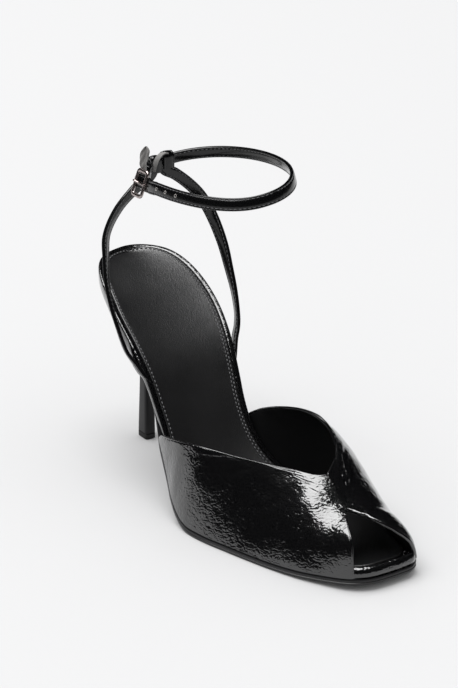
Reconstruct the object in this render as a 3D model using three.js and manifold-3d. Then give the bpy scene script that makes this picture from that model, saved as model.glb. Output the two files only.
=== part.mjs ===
// Right high-heeled sandal: peep-toe crossed vamp, open back, two sling straps and a buckled ankle strap.
// Millimetres. X runs from heel to toe, Y towards the inner side of the foot, Z up.
// The origin is on the floor under the middle of the forefoot tread.
import * as THREE from 'three';
import Module from 'manifold-3d';

const wasm = await Module();
wasm.setup();

// Driving sizes
const shoeLength = 219;
const ballWidth = 82;
const heelHeight = 95;
const instepHeight = 74;
const clearance = 0.35;

// Leather, board and sole thicknesses
const upperWall = 1.6;
const outsoleThickness = 2.9;
const heelEdgeDepth = 9.6;
const sockThickness = 1.3;
const footbedDish = 1.6;
const rimRoll = 3.8;
const soleChamfer = 0.5;
const sockInset = 4.3;
const soleMargin = 0.3;
const toeBindingDepth = 5.4;

// Straps and buckle
const strapWidth = 6;
const strapThickness = 1.9;
const strapChamfer = 0.4;
const ankleLoopLength = 88;
const ankleLoopWidth = 57;
const ankleLoopHeight = 152.6;
const buckleWidth = 9;
const buckleHeight = 13.5;
const buckleBar = 1.7;
const buckleDepth = 1.3;
const prongWidth = 1.4;
const prongThickness = 0.9;
const tailLength = 13;
const tailThickness = 1.4;
const keeperWidth = 4;
const keeperWall = 0.9;

// Heel
const topPieceThickness = 3;
const heelBaseLength = 8.6;
const heelBaseWidth = 6;
const heelSetIn = 25.9;
const heelSeatLip = 0.8;

// How finely the pieces are divided
const outlineSteps = 38;
const footbedColumns = 6;
const vampColumns = 18;
const vampRows = 18;
const heelRingSteps = 10;
const ankleLoopSteps = 46;
const slingSteps = 26;

// Outline of the footbed, seen from above: along as a share of the shoe length, side as a share of the ball width.
const outerSide = [
  { along: -0.6265, side: 0.049 },
  { along: -0.621, side: -0.037 },
  { along: -0.6073, side: -0.128 },
  { along: -0.58, side: -0.207 },
  { along: -0.539, side: -0.266 },
  { along: -0.484, side: -0.305 },
  { along: -0.42, side: -0.335 },
  { along: -0.347, side: -0.341 },
  { along: -0.283, side: -0.339 },
  { along: -0.2237, side: -0.351 },
  { along: -0.1644, side: -0.388 },
  { along: -0.11, side: -0.434 },
  { along: -0.055, side: -0.454 },
  { along: 0, side: -0.437 },
  { along: 0.064, side: -0.39 },
  { along: 0.128, side: -0.339 },
  { along: 0.192, side: -0.282 },
  { along: 0.2466, side: -0.223 },
  { along: 0.292, side: -0.156 },
  { along: 0.3265, side: -0.1 },
  { along: 0.3493, side: -0.039 },
  { along: 0.3607, side: 0.03 },
  { along: 0.3635, side: 0.122 },
];
const innerSide = [
  { along: -0.6265, side: 0.049 },
  { along: -0.622, side: 0.122 },
  { along: -0.605, side: 0.201 },
  { along: -0.566, side: 0.29 },
  { along: -0.516, side: 0.341 },
  { along: -0.457, side: 0.359 },
  { along: -0.393, side: 0.351 },
  { along: -0.329, side: 0.317 },
  { along: -0.274, side: 0.278 },
  { along: -0.2237, side: 0.244 },
  { along: -0.1735, side: 0.244 },
  { along: -0.128, side: 0.287 },
  { along: -0.082, side: 0.36 },
  { along: -0.0365, side: 0.433 },
  { along: 0.0137, side: 0.485 },
  { along: 0.064, side: 0.495 },
  { along: 0.1187, side: 0.476 },
  { along: 0.1735, side: 0.446 },
  { along: 0.228, side: 0.41 },
  { along: 0.274, side: 0.371 },
  { along: 0.315, side: 0.352 },
  { along: 0.3425, side: 0.338 },
  { along: 0.357, side: 0.303 },
  { along: 0.3625, side: 0.225 },
  { along: 0.3635, side: 0.122 },
];

// Side view of the sole: ground is the height of its underside as a share of the heel height,
// edge is the depth of the footbed's wrapped edge as a share of its depth at the heel,
// waist is how far the outsole draws in from the footbed's edge, as a share of the ball width.
const soleLine = [
  { along: -0.6265, ground: 0.869, edge: 1, waist: 0.06 },
  { along: -0.584, ground: 0.857, edge: 1, waist: 0.06 },
  { along: -0.55, ground: 0.836, edge: 0.98, waist: 0.06 },
  { along: -0.499, ground: 0.789, edge: 0.95, waist: 0.06 },
  { along: -0.45, ground: 0.737, edge: 0.91, waist: 0.058 },
  { along: -0.3995, ground: 0.674, edge: 0.86, waist: 0.05 },
  { along: -0.345, ground: 0.595, edge: 0.77, waist: 0.035 },
  { along: -0.3, ground: 0.505, edge: 0.69, waist: 0.028 },
  { along: -0.26, ground: 0.4, edge: 0.62, waist: 0.01 },
  { along: -0.2224, ground: 0.3, edge: 0.56, waist: -0.02 },
  { along: -0.201, ground: 0.246, edge: 0.52, waist: -0.0268 },
  { along: -0.1735, ground: 0.181, edge: 0.48, waist: -0.0268 },
  { along: -0.146, ground: 0.122, edge: 0.45, waist: -0.0268 },
  { along: -0.1187, ground: 0.072, edge: 0.43, waist: -0.0268 },
  { along: -0.0913, ground: 0.034, edge: 0.41, waist: -0.0268 },
  { along: -0.064, ground: 0.011, edge: 0.39, waist: -0.0268 },
  { along: -0.0365, ground: 0, edge: 0.38, waist: -0.0268 },
  { along: 0.146, ground: 0, edge: 0.37, waist: -0.0268 },
  { along: 0.2055, ground: 0.0032, edge: 0.37, waist: -0.0268 },
  { along: 0.274, ground: 0.0126, edge: 0.38, waist: -0.0268 },
  { along: 0.329, ground: 0.0242, edge: 0.4, waist: -0.0268 },
  { along: 0.3744, ground: 0.034, edge: 0.42, waist: -0.0268 },
];

// Top line of the last: crest as a share of the instep height, ridge as a share of the ball width,
// outerFullness and innerFullness shape the two sides of a section, low is boxy and high slopes in.
const lastLine = [
  { along: -0.2237, crest: 1, ridge: -0.049, outerFullness: 1.2, innerFullness: 1 },
  { along: -0.16, crest: 0.946, ridge: -0.024, outerFullness: 1.2, innerFullness: 1 },
  { along: -0.0913, crest: 0.892, ridge: -0.012, outerFullness: 1.35, innerFullness: 0.95 },
  { along: -0.0228, crest: 0.838, ridge: 0.012, outerFullness: 1.75, innerFullness: 0.95 },
  { along: 0.0685, crest: 0.743, ridge: 0.05, outerFullness: 1.85, innerFullness: 1.12 },
  { along: 0.128, crest: 0.649, ridge: 0.065, outerFullness: 1.8, innerFullness: 1.2 },
  { along: 0.1836, crest: 0.541, ridge: 0.065, outerFullness: 1.5, innerFullness: 1.22 },
  { along: 0.2215, crest: 0.46, ridge: 0.06, outerFullness: 1.35, innerFullness: 0.95 },
  { along: 0.26, crest: 0.392, ridge: 0.058, outerFullness: 1.2, innerFullness: 0.67 },
  { along: 0.3014, crest: 0.382, ridge: 0.085, outerFullness: 0.95, innerFullness: 0.66 },
  { along: 0.333, crest: 0.345, ridge: 0.11, outerFullness: 0.5, innerFullness: 0.64 },
  { along: 0.3635, crest: 0.28, ridge: 0.122, outerFullness: 0.4, innerFullness: 0.7 },
];
const sectionRoundness = 0.8;

// Edges of the vamp, from the sole up to the middle: along as a share of the shoe length,
// height as a share of the instep height. The first row of each stands on the sole.
const outerThroat = [
  { along: -0.2215, height: 0.43 },
  { along: -0.2055, height: 0.463 },
  { along: -0.16, height: 0.503 },
  { along: -0.0913, height: 0.549 },
  { along: -0.0228, height: 0.562 },
  { along: 0.0457, height: 0.565 },
  { along: 0.1142, height: 0.556 },
  { along: 0.1836, height: 0.541 },
];
const innerThroat = [
  { along: -0.2215, height: 0.43 },
  { along: -0.2, height: 0.475 },
  { along: -0.155, height: 0.54 },
  { along: -0.1, height: 0.59 },
  { along: -0.05, height: 0.615 },
  { along: 0, height: 0.628 },
  { along: 0.064, height: 0.63 },
  { along: 0.1187, height: 0.619 },
  { along: 0.155, height: 0.588 },
  { along: 0.1836, height: 0.541 },
];
const outerPeep = [
  { along: 0.346, height: 0.08 },
  { along: 0.343, height: 0.13 },
  { along: 0.3394, height: 0.2 },
  { along: 0.3329, height: 0.277 },
  { along: 0.3215, height: 0.326 },
  { along: 0.3016, height: 0.36 },
  { along: 0.2794, height: 0.383 },
  { along: 0.26, height: 0.392 },
];
const innerPeep = [
  { along: 0.3555, height: 0.08 },
  { along: 0.3575, height: 0.146 },
  { along: 0.3555, height: 0.232 },
  { along: 0.346, height: 0.296 },
  { along: 0.3297, height: 0.346 },
  { along: 0.3061, height: 0.375 },
  { along: 0.2828, height: 0.386 },
  { along: 0.26, height: 0.392 },
];

// Heel stem, from the top piece up to the seat: level as a share of the heel height, back and front
// as shares of the base length from its middle, half as a share of the base width.
const heelStem = [
  { level: 0.13, back: 0.45, front: 0.45, half: 0.5, lean: 0.002 },
  { level: 0.32, back: 0.36, front: 0.4, half: 0.485, lean: 0.006 },
  { level: 0.5, back: 0.36, front: 0.48, half: 0.52, lean: 0.012 },
  { level: 0.6, back: 0.45, front: 0.64, half: 0.64, lean: 0.018 },
  { level: 0.655, back: 0.62, front: 0.82, half: 0.85, lean: 0.024 },
  { level: 0.7, back: 0.84, front: 1.05, half: 1.15, lean: 0.03 },
  { level: 0.745, back: 1.22, front: 1.38, half: 1.7, lean: 0.034 },
];
const heelSeat = { back: 2.05, front: 2.2, half: 2.75, lean: 0.036 };
const heelMiddle = outerSide[0].along * shoeLength + heelSetIn;

// Middle lines of the sling straps: along and side as shares of the shoe length and ball width,
// up as a share of the ankle loop's height, turn is the way the strap's width points, in degrees in plan.
const outerSling = [
  { along: -0.298, side: -0.3575, up: 0.356, turn: 0 },
  { along: -0.31, side: -0.3595, up: 0.379, turn: 0 },
  { along: -0.33, side: -0.363, up: 0.406, turn: -6 },
  { along: -0.353, side: -0.375, up: 0.436, turn: -14 },
  { along: -0.379, side: -0.394, up: 0.511, turn: -24 },
  { along: -0.402, side: -0.396, up: 0.573, turn: -33 },
  { along: -0.426, side: -0.385, up: 0.64, turn: -40 },
  { along: -0.449, side: -0.354, up: 0.706, turn: -46 },
  { along: -0.4685, side: -0.315, up: 0.769, turn: -56 },
  { along: -0.476, side: -0.227, up: 0.838, turn: -70 },
  { along: -0.474, side: -0.11, up: 0.897, turn: -84 },
  { along: -0.473, side: 0.005, up: 0.938, turn: -90 },
];
const innerSling = [
  { along: -0.299, side: 0.318, up: 0.34, turn: -18 },
  { along: -0.315, side: 0.338, up: 0.37, turn: -18 },
  { along: -0.333, side: 0.366, up: 0.405, turn: -20 },
  { along: -0.348, side: 0.398, up: 0.439, turn: -20 },
  { along: -0.361, side: 0.414, up: 0.469, turn: -18 },
  { along: -0.382, side: 0.429, up: 0.534, turn: -10 },
  { along: -0.407, side: 0.434, up: 0.603, turn: 4 },
  { along: -0.429, side: 0.431, up: 0.672, turn: 20 },
  { along: -0.4505, side: 0.413, up: 0.738, turn: 36 },
  { along: -0.466, side: 0.388, up: 0.787, turn: 50 },
  { along: -0.474, side: 0.345, up: 0.832, turn: 64 },
  { along: -0.475, side: 0.27, up: 0.877, turn: 78 },
  { along: -0.474, side: 0.17, up: 0.922, turn: 88 },
  { along: -0.473, side: 0.09, up: 0.95, turn: 90 },
];

// A smooth value between the rows of a table that never overshoots its rows.
function rowValue(rows, key, along) {
  const last = rows.length - 1;
  if (along <= rows[0].along) return rows[0][key];
  if (along >= rows[last].along) return rows[last][key];
  let i = 0;
  while (along > rows[i + 1].along) i += 1;
  const slopeOf = (k) => (rows[k + 1][key] - rows[k][key]) / (rows[k + 1].along - rows[k].along);
  const tangentAt = (k) => {
    if (k === 0) return slopeOf(0);
    if (k === last) return slopeOf(last - 1);
    const before = slopeOf(k - 1);
    const after = slopeOf(k);
    return before * after <= 0 ? 0 : (2 * before * after) / (before + after);
  };
  const step = rows[i + 1].along - rows[i].along;
  const t = (along - rows[i].along) / step;
  const rise = t * t * (3 - 2 * t);
  const leaving = tangentAt(i) * step * t * (1 - t) * (1 - t);
  const arriving = tangentAt(i + 1) * step * t * t * (t - 1);
  return rows[i][key] + (rows[i + 1][key] - rows[i][key]) * rise + leaving + arriving;
}

const soleValue = (key, x) => rowValue(soleLine, key, x / shoeLength);
const lastValue = (key, x) => rowValue(lastLine, key, x / shoeLength);
const groundAt = (x) => soleValue('ground', x) * heelHeight;
const steepness = (x) => Math.hypot(1, groundAt(x + 0.5) - groundAt(x - 0.5));
const gapAt = (x) => clearance * steepness(x);
const footbedUnderside = (x) => groundAt(x) + outsoleThickness + gapAt(x);
const edgeDepth = (x) => soleValue('edge', x) * heelEdgeDepth;
const footbedRim = (x) => footbedUnderside(x) + edgeDepth(x);

function planCurve(rows) {
  const points = rows.map((row) => new THREE.Vector3(row.along * shoeLength, row.side * ballWidth, 0));
  return new THREE.CatmullRomCurve3(points, false, 'centripetal');
}

// The footbed's outline as one closed ring: back, outer side, toe, inner side, each point with its outward normal.
function outlineRing() {
  const outer = planCurve(outerSide).getSpacedPoints(outlineSteps);
  const inner = planCurve(innerSide).getSpacedPoints(outlineSteps);
  const ring = outer.concat(inner.slice(1, outlineSteps).reverse());
  return ring.map((point, i) => {
    const before = ring[(i + ring.length - 1) % ring.length];
    const after = ring[(i + 1) % ring.length];
    const normal = new THREE.Vector3(after.y - before.y, before.x - after.x, 0).normalize();
    return { point, normal };
  });
}
const outline = outlineRing();

function ringAt(insetOf, heightOf) {
  return outline.map(({ point, normal }) => {
    const moved = point.clone().addScaledVector(normal, -insetOf(point.x));
    moved.z = heightOf(moved.x);
    return moved;
  });
}

// Positions and triangles made into a geometry whose faces point out.
function solidGeometry(points, faces) {
  let volume = 0;
  for (const [a, b, c] of faces) {
    volume += points[a].dot(new THREE.Vector3().crossVectors(points[b], points[c]));
  }
  const index = volume > 0 ? faces.flat() : faces.flatMap(([a, b, c]) => [a, c, b]);
  const geometry = new THREE.BufferGeometry();
  geometry.setAttribute('position', new THREE.Float32BufferAttribute(points.flatMap((p) => p.toArray()), 3));
  geometry.setIndex(index);
  geometry.computeVertexNormals();
  return geometry;
}

const quad = (a, b, c, d) => [[a, b, c], [a, c, d]];

// Closed rings stacked from the underside up, closed below and above by rows that cross from side to side.
function stackedSolid(rings, columns, heightBelow, heightAbove) {
  const points = rings.flat().map((point) => point.clone());
  const count = rings[0].length;
  const half = count / 2;
  const faces = [];
  for (let level = 0; level < rings.length - 1; level += 1) {
    for (let i = 0; i < count; i += 1) {
      const next = (i + 1) % count;
      const low = level * count;
      faces.push(...quad(low + i, low + next, low + count + next, low + count + i));
    }
  }
  const closeRing = (start, heightOf, upwards) => {
    const rows = [];
    for (let i = 0; i <= half; i += 1) {
      const left = start + i;
      const right = start + ((count - i) % count);
      const row = [left];
      for (let k = 1; k < columns && left !== right; k += 1) {
        const share = k / columns;
        const point = points[left].clone().lerp(points[right], share);
        point.z = heightOf(point.x, share);
        row.push(points.push(point) - 1);
      }
      if (left !== right) row.push(right);
      rows.push(row);
    }
    for (let i = 0; i < half; i += 1) {
      for (let k = 0; k < columns; k += 1) {
        const at = (row, column) => row[Math.min(column, row.length - 1)];
        const corners = [at(rows[i], k), at(rows[i + 1], k), at(rows[i + 1], k + 1), at(rows[i], k + 1)];
        for (const [a, b, c] of quad(...corners)) {
          if (a !== b && b !== c && a !== c) faces.push(upwards ? [a, b, c] : [a, c, b]);
        }
      }
    }
  };
  closeRing(0, heightBelow, false);
  closeRing((rings.length - 1) * count, heightAbove, true);
  return solidGeometry(points, faces);
}

// Equal sections joined one after another, closed at both ends or all the way round.
function loftedSolid(sections, closedLoop) {
  const points = sections.flat();
  const count = sections[0].length;
  const faces = [];
  const spans = closedLoop ? sections.length : sections.length - 1;
  for (let s = 0; s < spans; s += 1) {
    const here = s * count;
    const there = ((s + 1) % sections.length) * count;
    for (let i = 0; i < count; i += 1) {
      const next = (i + 1) % count;
      faces.push(...quad(here + i, here + next, there + next, there + i));
    }
  }
  if (!closedLoop) {
    const end = (sections.length - 1) * count;
    for (let i = 1; i < count - 1; i += 1) {
      faces.push([0, i + 1, i], [end, end + i, end + i + 1]);
    }
  }
  return solidGeometry(points, faces);
}

const smoothStep = (from, to, x) => THREE.MathUtils.smoothstep(x, from, to);

// Outsole: a thin sole under the forefoot that narrows along the shank and ends at the heel.
function outsole() {
  const back = heelMiddle + heelSeat.front * heelBaseLength + 4 * clearance;
  const inset = (extra) => (x) => soleValue('waist', x) * ballWidth + extra;
  const rings = [
    ringAt(inset(soleChamfer), groundAt),
    ringAt(inset(0), (x) => groundAt(x) + soleChamfer),
    ringAt(inset(0), (x) => groundAt(x) + outsoleThickness - soleChamfer),
    ringAt(inset(soleChamfer), (x) => groundAt(x) + outsoleThickness),
  ];
  const top = (x) => groundAt(x) + outsoleThickness;
  return cutBehind(stackedSolid(rings, 4, groundAt, top), back);
}

// Everything behind a plane across the shoe is cut away, by a box made of plain triangles.
function cutBehind(geometry, x) {
  const box = new THREE.BoxGeometry(shoeLength, 2 * ballWidth, 3 * heelHeight);
  box.translate(x - shoeLength / 2, 0, heelHeight / 2);
  return fromManifold(toManifold(geometry).subtract(toManifold(box)));
}

function toManifold(geometry) {
  const position = geometry.getAttribute('position');
  const seen = new Map();
  const vertices = [];
  const merged = [];
  for (let i = 0; i < position.count; i += 1) {
    const place = [position.getX(i), position.getY(i), position.getZ(i)];
    const key = place.map((value) => Math.round(value * 1e5)).join(' ');
    if (!seen.has(key)) {
      seen.set(key, seen.size);
      vertices.push(...place);
    }
    merged.push(seen.get(key));
  }
  const triangles = Array.from(geometry.index.array, (i) => merged[i]);
  const mesh = new wasm.Mesh({
    numProp: 3,
    vertProperties: new Float32Array(vertices),
    triVerts: new Uint32Array(triangles),
  });
  return new wasm.Manifold(mesh);
}

function fromManifold(solid) {
  const mesh = solid.getMesh();
  const geometry = new THREE.BufferGeometry();
  geometry.setAttribute('position', new THREE.BufferAttribute(new Float32Array(mesh.vertProperties), 3));
  geometry.setIndex(Array.from(mesh.triVerts));
  geometry.computeVertexNormals();
  return geometry;
}

// The footbed draws in a little under the vamp, and further at the toe to leave room for its binding.
const drawIn = (x) => 0.35 * smoothStep(-0.25 * shoeLength, -0.21 * shoeLength, x)
  + (toeBindingDepth - soleMargin - upperWall) * smoothStep(0.3 * shoeLength, 0.345 * shoeLength, x);

// The sock lies in a shallow dish that is deepest along the middle.
const sockBed = (x) => footbedRim(x) - sockThickness - gapAt(x);
const dished = (heightOf) => (x, share) => heightOf(x) - footbedDish * 4 * share * (1 - share);

// Footbed: a board with a wrapped, rolled edge that is deep at the heel and thin under the vamp.
function footbed() {
  const inset = (share) => (x) => share * rimRoll + drawIn(x);
  const height = (drop) => (x) => footbedRim(x) - drop * edgeDepth(x);
  const rings = [
    ringAt(inset(0.9), footbedUnderside),
    ringAt(inset(0.3), height(0.9)),
    ringAt(inset(0), height(0.62)),
    ringAt(inset(0), height(0.36)),
    ringAt(inset(0.18), height(0.12)),
    ringAt(inset(0.52), height(0)),
    ringAt(inset(1), sockBed),
  ];
  return stackedSolid(rings, footbedColumns, footbedUnderside, dished(sockBed));
}

// Sock: the lining leather that lies on the footbed inside the rolled edge.
function sock() {
  const inset = (share) => (x) => sockInset + share * sockThickness + drawIn(x);
  const height = (drop) => (x) => footbedRim(x) - drop * sockThickness;
  const rings = [
    ringAt(inset(0), height(1)),
    ringAt(inset(0), height(0.27)),
    ringAt(inset(0.6), height(0)),
  ];
  return stackedSolid(rings, footbedColumns, dished(height(1)), dished(height(0)));
}

// One side of the last's surface: climb runs from 0 at the sole to 1 at the ridge.
const outerCurve = planCurve(outerSide);
const innerCurve = planCurve(innerSide);
function footPoint(side, x) {
  const rows = side < 0 ? outerSide : innerSide;
  const along = x / shoeLength;
  const step = 0.002;
  const here = rowValue(rows, 'side', along) * ballWidth;
  const ahead = rowValue(rows, 'side', along + step) * ballWidth;
  const tangent = new THREE.Vector2(step * shoeLength, ahead - here).normalize();
  const reach = upperWall + clearance + 0.1;
  return new THREE.Vector2(x - side * tangent.y * reach, here + side * tangent.x * reach);
}
const vampFoot = (x) => footbedUnderside(x) + 0.8 * gapAt(x);
const crestHeight = (x) => lastValue('crest', x) * instepHeight;
function climbTo(x, height) {
  const share = (height - vampFoot(x)) / (crestHeight(x) - vampFoot(x));
  const sine = Math.pow(THREE.MathUtils.clamp(share, 0, 1), 1 / sectionRoundness);
  return Math.asin(Math.min(sine, 1)) / (Math.PI / 2);
}
function lastPoint(side, x, climb) {
  const foot = footPoint(side, x);
  const angle = climb * Math.PI / 2;
  const fullness = lastValue(side < 0 ? 'outerFullness' : 'innerFullness', x);
  const across = Math.pow(Math.max(Math.cos(angle), 0), fullness);
  const rise = Math.pow(Math.sin(angle), sectionRoundness);
  const ridge = lastValue('ridge', x) * ballWidth;
  return new THREE.Vector3(
    x + (foot.x - x) * across,
    ridge + (foot.y - ridge) * across,
    vampFoot(x) + (crestHeight(x) - vampFoot(x)) * rise,
  );
}

// A vamp edge as places on the last: station and climb, evenly spaced from the sole to the middle.
function edgePlaces(rows) {
  const points = rows.map((row) => new THREE.Vector3(row.along * shoeLength, row.height * instepHeight, 0));
  const curve = new THREE.CatmullRomCurve3(points, false, 'centripetal');
  return curve.getSpacedPoints(vampColumns).map((point, i) => {
    const atSole = i === 0;
    const atRidge = i === vampColumns;
    const climb = atSole ? 0 : climbTo(point.x, point.y);
    return { x: point.x, climb: atRidge ? 1 : climb };
  });
}

// Vamp: two crossed panels lasted as one shell, open at the throat, the toe and underneath.
function vamp() {
  const sideColumns = (side, throatRows, peepRows) => {
    const throat = edgePlaces(throatRows);
    const peep = edgePlaces(peepRows);
    return throat.map((start, i) => {
      const column = [];
      for (let j = 0; j <= vampRows; j += 1) {
        const share = Math.pow(j / vampRows, 1.2);
        const x = THREE.MathUtils.lerp(start.x, peep[i].x, share);
        const climb = THREE.MathUtils.lerp(start.climb, peep[i].climb, share);
        column.push(lastPoint(side, x, climb));
      }
      return column;
    });
  };
  const outer = sideColumns(-1, outerThroat, outerPeep);
  const inner = sideColumns(1, innerThroat, innerPeep);
  return shellSolid(outer.concat(inner.slice(0, vampColumns).reverse()), upperWall);
}

// A wall of even thickness behind a grid of points, closed along its four edges.
function shellSolid(grid, wall) {
  const columns = grid.length;
  const rows = grid[0].length;
  const clampTo = (value, top) => Math.max(0, Math.min(top, value));
  const inside = grid.map((column, i) => column.map((point, j) => {
    const acrossStep = grid[clampTo(i + 1, columns - 1)][j].clone().sub(grid[clampTo(i - 1, columns - 1)][j]);
    const alongStep = column[clampTo(j + 1, rows - 1)].clone().sub(column[clampTo(j - 1, rows - 1)]);
    const normal = acrossStep.cross(alongStep);
    if (i === 0 || i === columns - 1) normal.z = 0;
    return point.clone().addScaledVector(normal.normalize(), wall);
  }));
  const points = grid.flat().concat(inside.flat());
  const offset = columns * rows;
  const at = (i, j) => i * rows + j;
  const faces = [];
  for (let i = 0; i < columns - 1; i += 1) {
    for (let j = 0; j < rows - 1; j += 1) {
      const corners = [at(i, j), at(i + 1, j), at(i + 1, j + 1), at(i, j + 1)];
      faces.push(...quad(...corners));
      faces.push(...quad(...corners.map((corner) => corner + offset).reverse()));
    }
  }
  const border = [];
  for (let j = 0; j < rows - 1; j += 1) border.push(at(0, j));
  for (let i = 0; i < columns - 1; i += 1) border.push(at(i, rows - 1));
  for (let j = rows - 1; j > 0; j -= 1) border.push(at(columns - 1, j));
  for (let i = columns - 1; i > 0; i -= 1) border.push(at(i, 0));
  border.forEach((corner, i) => {
    const next = border[(i + 1) % border.length];
    faces.push(...quad(corner, next, next + offset, corner + offset));
  });
  return solidGeometry(points, faces);
}

// Toe binding: the rolled patent edge between the two front ends of the vamp.
function toeBinding() {
  const outerStart = outerPeep[0].along * shoeLength;
  const innerStart = innerPeep[0].along * shoeLength;
  const sections = [];
  const steps = 16;
  const path = toePath(outerStart, innerStart, steps);
  path.forEach(({ point, normal }, i) => {
    const ends = Math.min(i, steps - i) / steps;
    const open = smoothStep(0, 0.12, ends);
    const face = (upperWall + clearance - soleMargin) * open - clearance * (1 - open);
    const base = vampFoot(point.x);
    const depth = edgeDepth(point.x);
    const back = -0.65 * toeBindingDepth;
    const drawnIn = (share) => face - share * toeBindingDepth;
    const profile = [
      [back, 0],
      [face, 0],
      [face, 0.45],
      [drawnIn(0.1), 0.85],
      [drawnIn(0.3), 1.12],
      [drawnIn(0.6), 1.16],
      [back, 0.85],
    ];
    sections.push(profile.map(([out, up]) => {
      const place = point.clone().addScaledVector(normal, out);
      place.z = base + up * depth;
      return place;
    }));
  });
  return loftedSolid(sections, false);
}

// The outline round the toe, from the outer front end of the vamp to the inner one.
function toePath(outerStart, innerStart, steps) {
  const fine = 400;
  const outer = outerCurve.getSpacedPoints(fine).filter((p) => p.x > outerStart + clearance);
  const inner = innerCurve.getSpacedPoints(fine).filter((p) => p.x > innerStart + clearance);
  const round = new THREE.CatmullRomCurve3(outer.concat(inner.reverse().slice(1)), false, 'centripetal');
  const places = round.getSpacedPoints(steps);
  return places.map((point, i) => {
    const tangent = round.getTangentAt(i / steps);
    return { point, normal: new THREE.Vector3(tangent.y, -tangent.x, 0).normalize() };
  });
}

// Heel sections are rounded rectangles: back point first, then round by the outer side.
function heelRing(section, heightOf) {
  const ring = [];
  for (let i = 0; i < 2 * heelRingSteps; i += 1) {
    const angle = Math.PI * i / heelRingSteps;
    const squared = (value) => Math.sign(value) * Math.pow(Math.abs(value), 0.42);
    const reach = Math.cos(angle) > 0 ? section.back : section.front;
    const x = heelMiddle - squared(Math.cos(angle)) * reach * heelBaseLength;
    const y = section.lean * ballWidth - squared(Math.sin(angle)) * section.half * heelBaseWidth;
    ring.push(new THREE.Vector3(x, y, heightOf(x)));
  }
  return ring;
}
const heelBase = { back: 0.5, front: 0.5, half: 0.5, lean: 0 };

function heel() {
  const start = topPieceThickness + clearance;
  const seat = (x) => footbedUnderside(x) - gapAt(x);
  const below = (level, drop) => (x) => Math.min(level, seat(x) - drop);
  const rings = [heelRing(heelBase, () => start)];
  for (const section of heelStem) {
    rings.push(heelRing(section, below(section.level * heelHeight, 3.7 * heelSeatLip)));
  }
  const blend = {};
  const lastStem = heelStem[heelStem.length - 1];
  for (const key of Object.keys(heelSeat)) blend[key] = (lastStem[key] + heelSeat[key]) / 2;
  rings.push(heelRing(blend, below(0.79 * heelHeight, 2.2 * heelSeatLip)));
  rings.push(heelRing(heelSeat, (x) => seat(x) - heelSeatLip));
  rings.push(heelRing(heelSeat, seat));
  return stackedSolid(rings, 4, () => start, seat);
}

function topPiece() {
  const floor = () => 0;
  const top = () => topPieceThickness;
  return stackedSolid([heelRing(heelBase, floor), heelRing(heelBase, top)], 2, floor, top);
}

// A flat strap's section, its corners cut.
function strapSection(centre, widthDirection, faceDirection, width = strapWidth, thickness = strapThickness) {
  const w = width / 2;
  const t = thickness / 2;
  const c = Math.min(strapChamfer, thickness / 4);
  const corners = [[w - c, -t], [w, c - t], [w, t - c], [w - c, t], [c - w, t], [-w, t - c], [-w, c - t], [c - w, -t]];
  return corners.map(([across, out]) => centre.clone()
    .addScaledVector(widthDirection, across)
    .addScaledVector(faceDirection, out));
}

// The ankle loop is an oval that rises towards the inner side.
const loopMiddle = new THREE.Vector3(-0.26 * shoeLength, 0.098 * ballWidth, ankleLoopHeight);
const loopTurn = 0.1;
const loopRise = new THREE.Vector2(0.06, 0.18);
function loopPoint(angle) {
  const a = Math.cos(angle) * ankleLoopLength / 2;
  const b = Math.sin(angle) * ankleLoopWidth / 2;
  const x = a * Math.cos(loopTurn) - b * Math.sin(loopTurn);
  const y = a * Math.sin(loopTurn) + b * Math.cos(loopTurn);
  return new THREE.Vector3(x, y, x * loopRise.x + y * loopRise.y).add(loopMiddle);
}
function loopFrame(angle) {
  const step = 0.01;
  const tangent = loopPoint(angle + step).sub(loopPoint(angle - step)).normalize();
  const outward = new THREE.Vector3(tangent.y, -tangent.x, 0).normalize();
  return { tangent, outward, upward: new THREE.Vector3().crossVectors(outward, tangent).normalize() };
}
function nearLoop(angle, forward, out, up) {
  const { tangent, outward, upward } = loopFrame(angle);
  return loopPoint(angle)
    .addScaledVector(tangent, forward)
    .addScaledVector(outward, out)
    .addScaledVector(upward, up);
}

function ankleLoop() {
  const sections = [];
  for (let i = 0; i < ankleLoopSteps; i += 1) {
    const angle = 2 * Math.PI * i / ankleLoopSteps;
    const { outward, upward } = loopFrame(angle);
    sections.push(strapSection(loopPoint(angle), upward, outward));
  }
  return loftedSolid(sections, true);
}

// A sling strap rises from the sole's edge and hooks forward over the back of the ankle loop.
function slingStrap(rows) {
  const last = rows[rows.length - 1];
  const back = loopPoint(Math.PI);
  const over = strapWidth / 2 + 0.34 * strapThickness;
  const away = 0.92 * strapThickness;
  const side = last.side * ballWidth;
  const rise = loopRise.y * (side - back.y);
  const bend = [0.75 * away, 0.86 * over];
  const hook = [[-away, 0], [-bend[0], bend[1]], [0, over], bend, [away, 0], [away, -over]];
  const points = rows.map((row) => new THREE.Vector3(
    row.along * shoeLength,
    row.side * ballWidth,
    row.up * ankleLoopHeight,
  ));
  const turns = rows.map((row) => row.turn);
  for (const [forward, up] of hook) {
    points.push(new THREE.Vector3(back.x + forward, side, back.z + rise + up));
    turns.push(last.turn);
  }
  const path = new THREE.CatmullRomCurve3(points, false, 'centripetal');
  const sections = [];
  for (let i = 0; i <= slingSteps; i += 1) {
    const share = path.getUtoTmapping(i / slingSteps);
    const place = share * (turns.length - 1);
    const row = Math.min(Math.floor(place), turns.length - 2);
    const turn = THREE.MathUtils.degToRad(THREE.MathUtils.lerp(turns[row], turns[row + 1], place - row));
    const tangent = path.getTangent(share);
    const width = new THREE.Vector3(Math.cos(turn), Math.sin(turn), 0);
    width.addScaledVector(tangent, -width.dot(tangent)).normalize();
    sections.push(strapSection(path.getPoint(share), width, new THREE.Vector3().crossVectors(width, tangent)));
  }
  return loftedSolid(sections, false);
}

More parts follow.
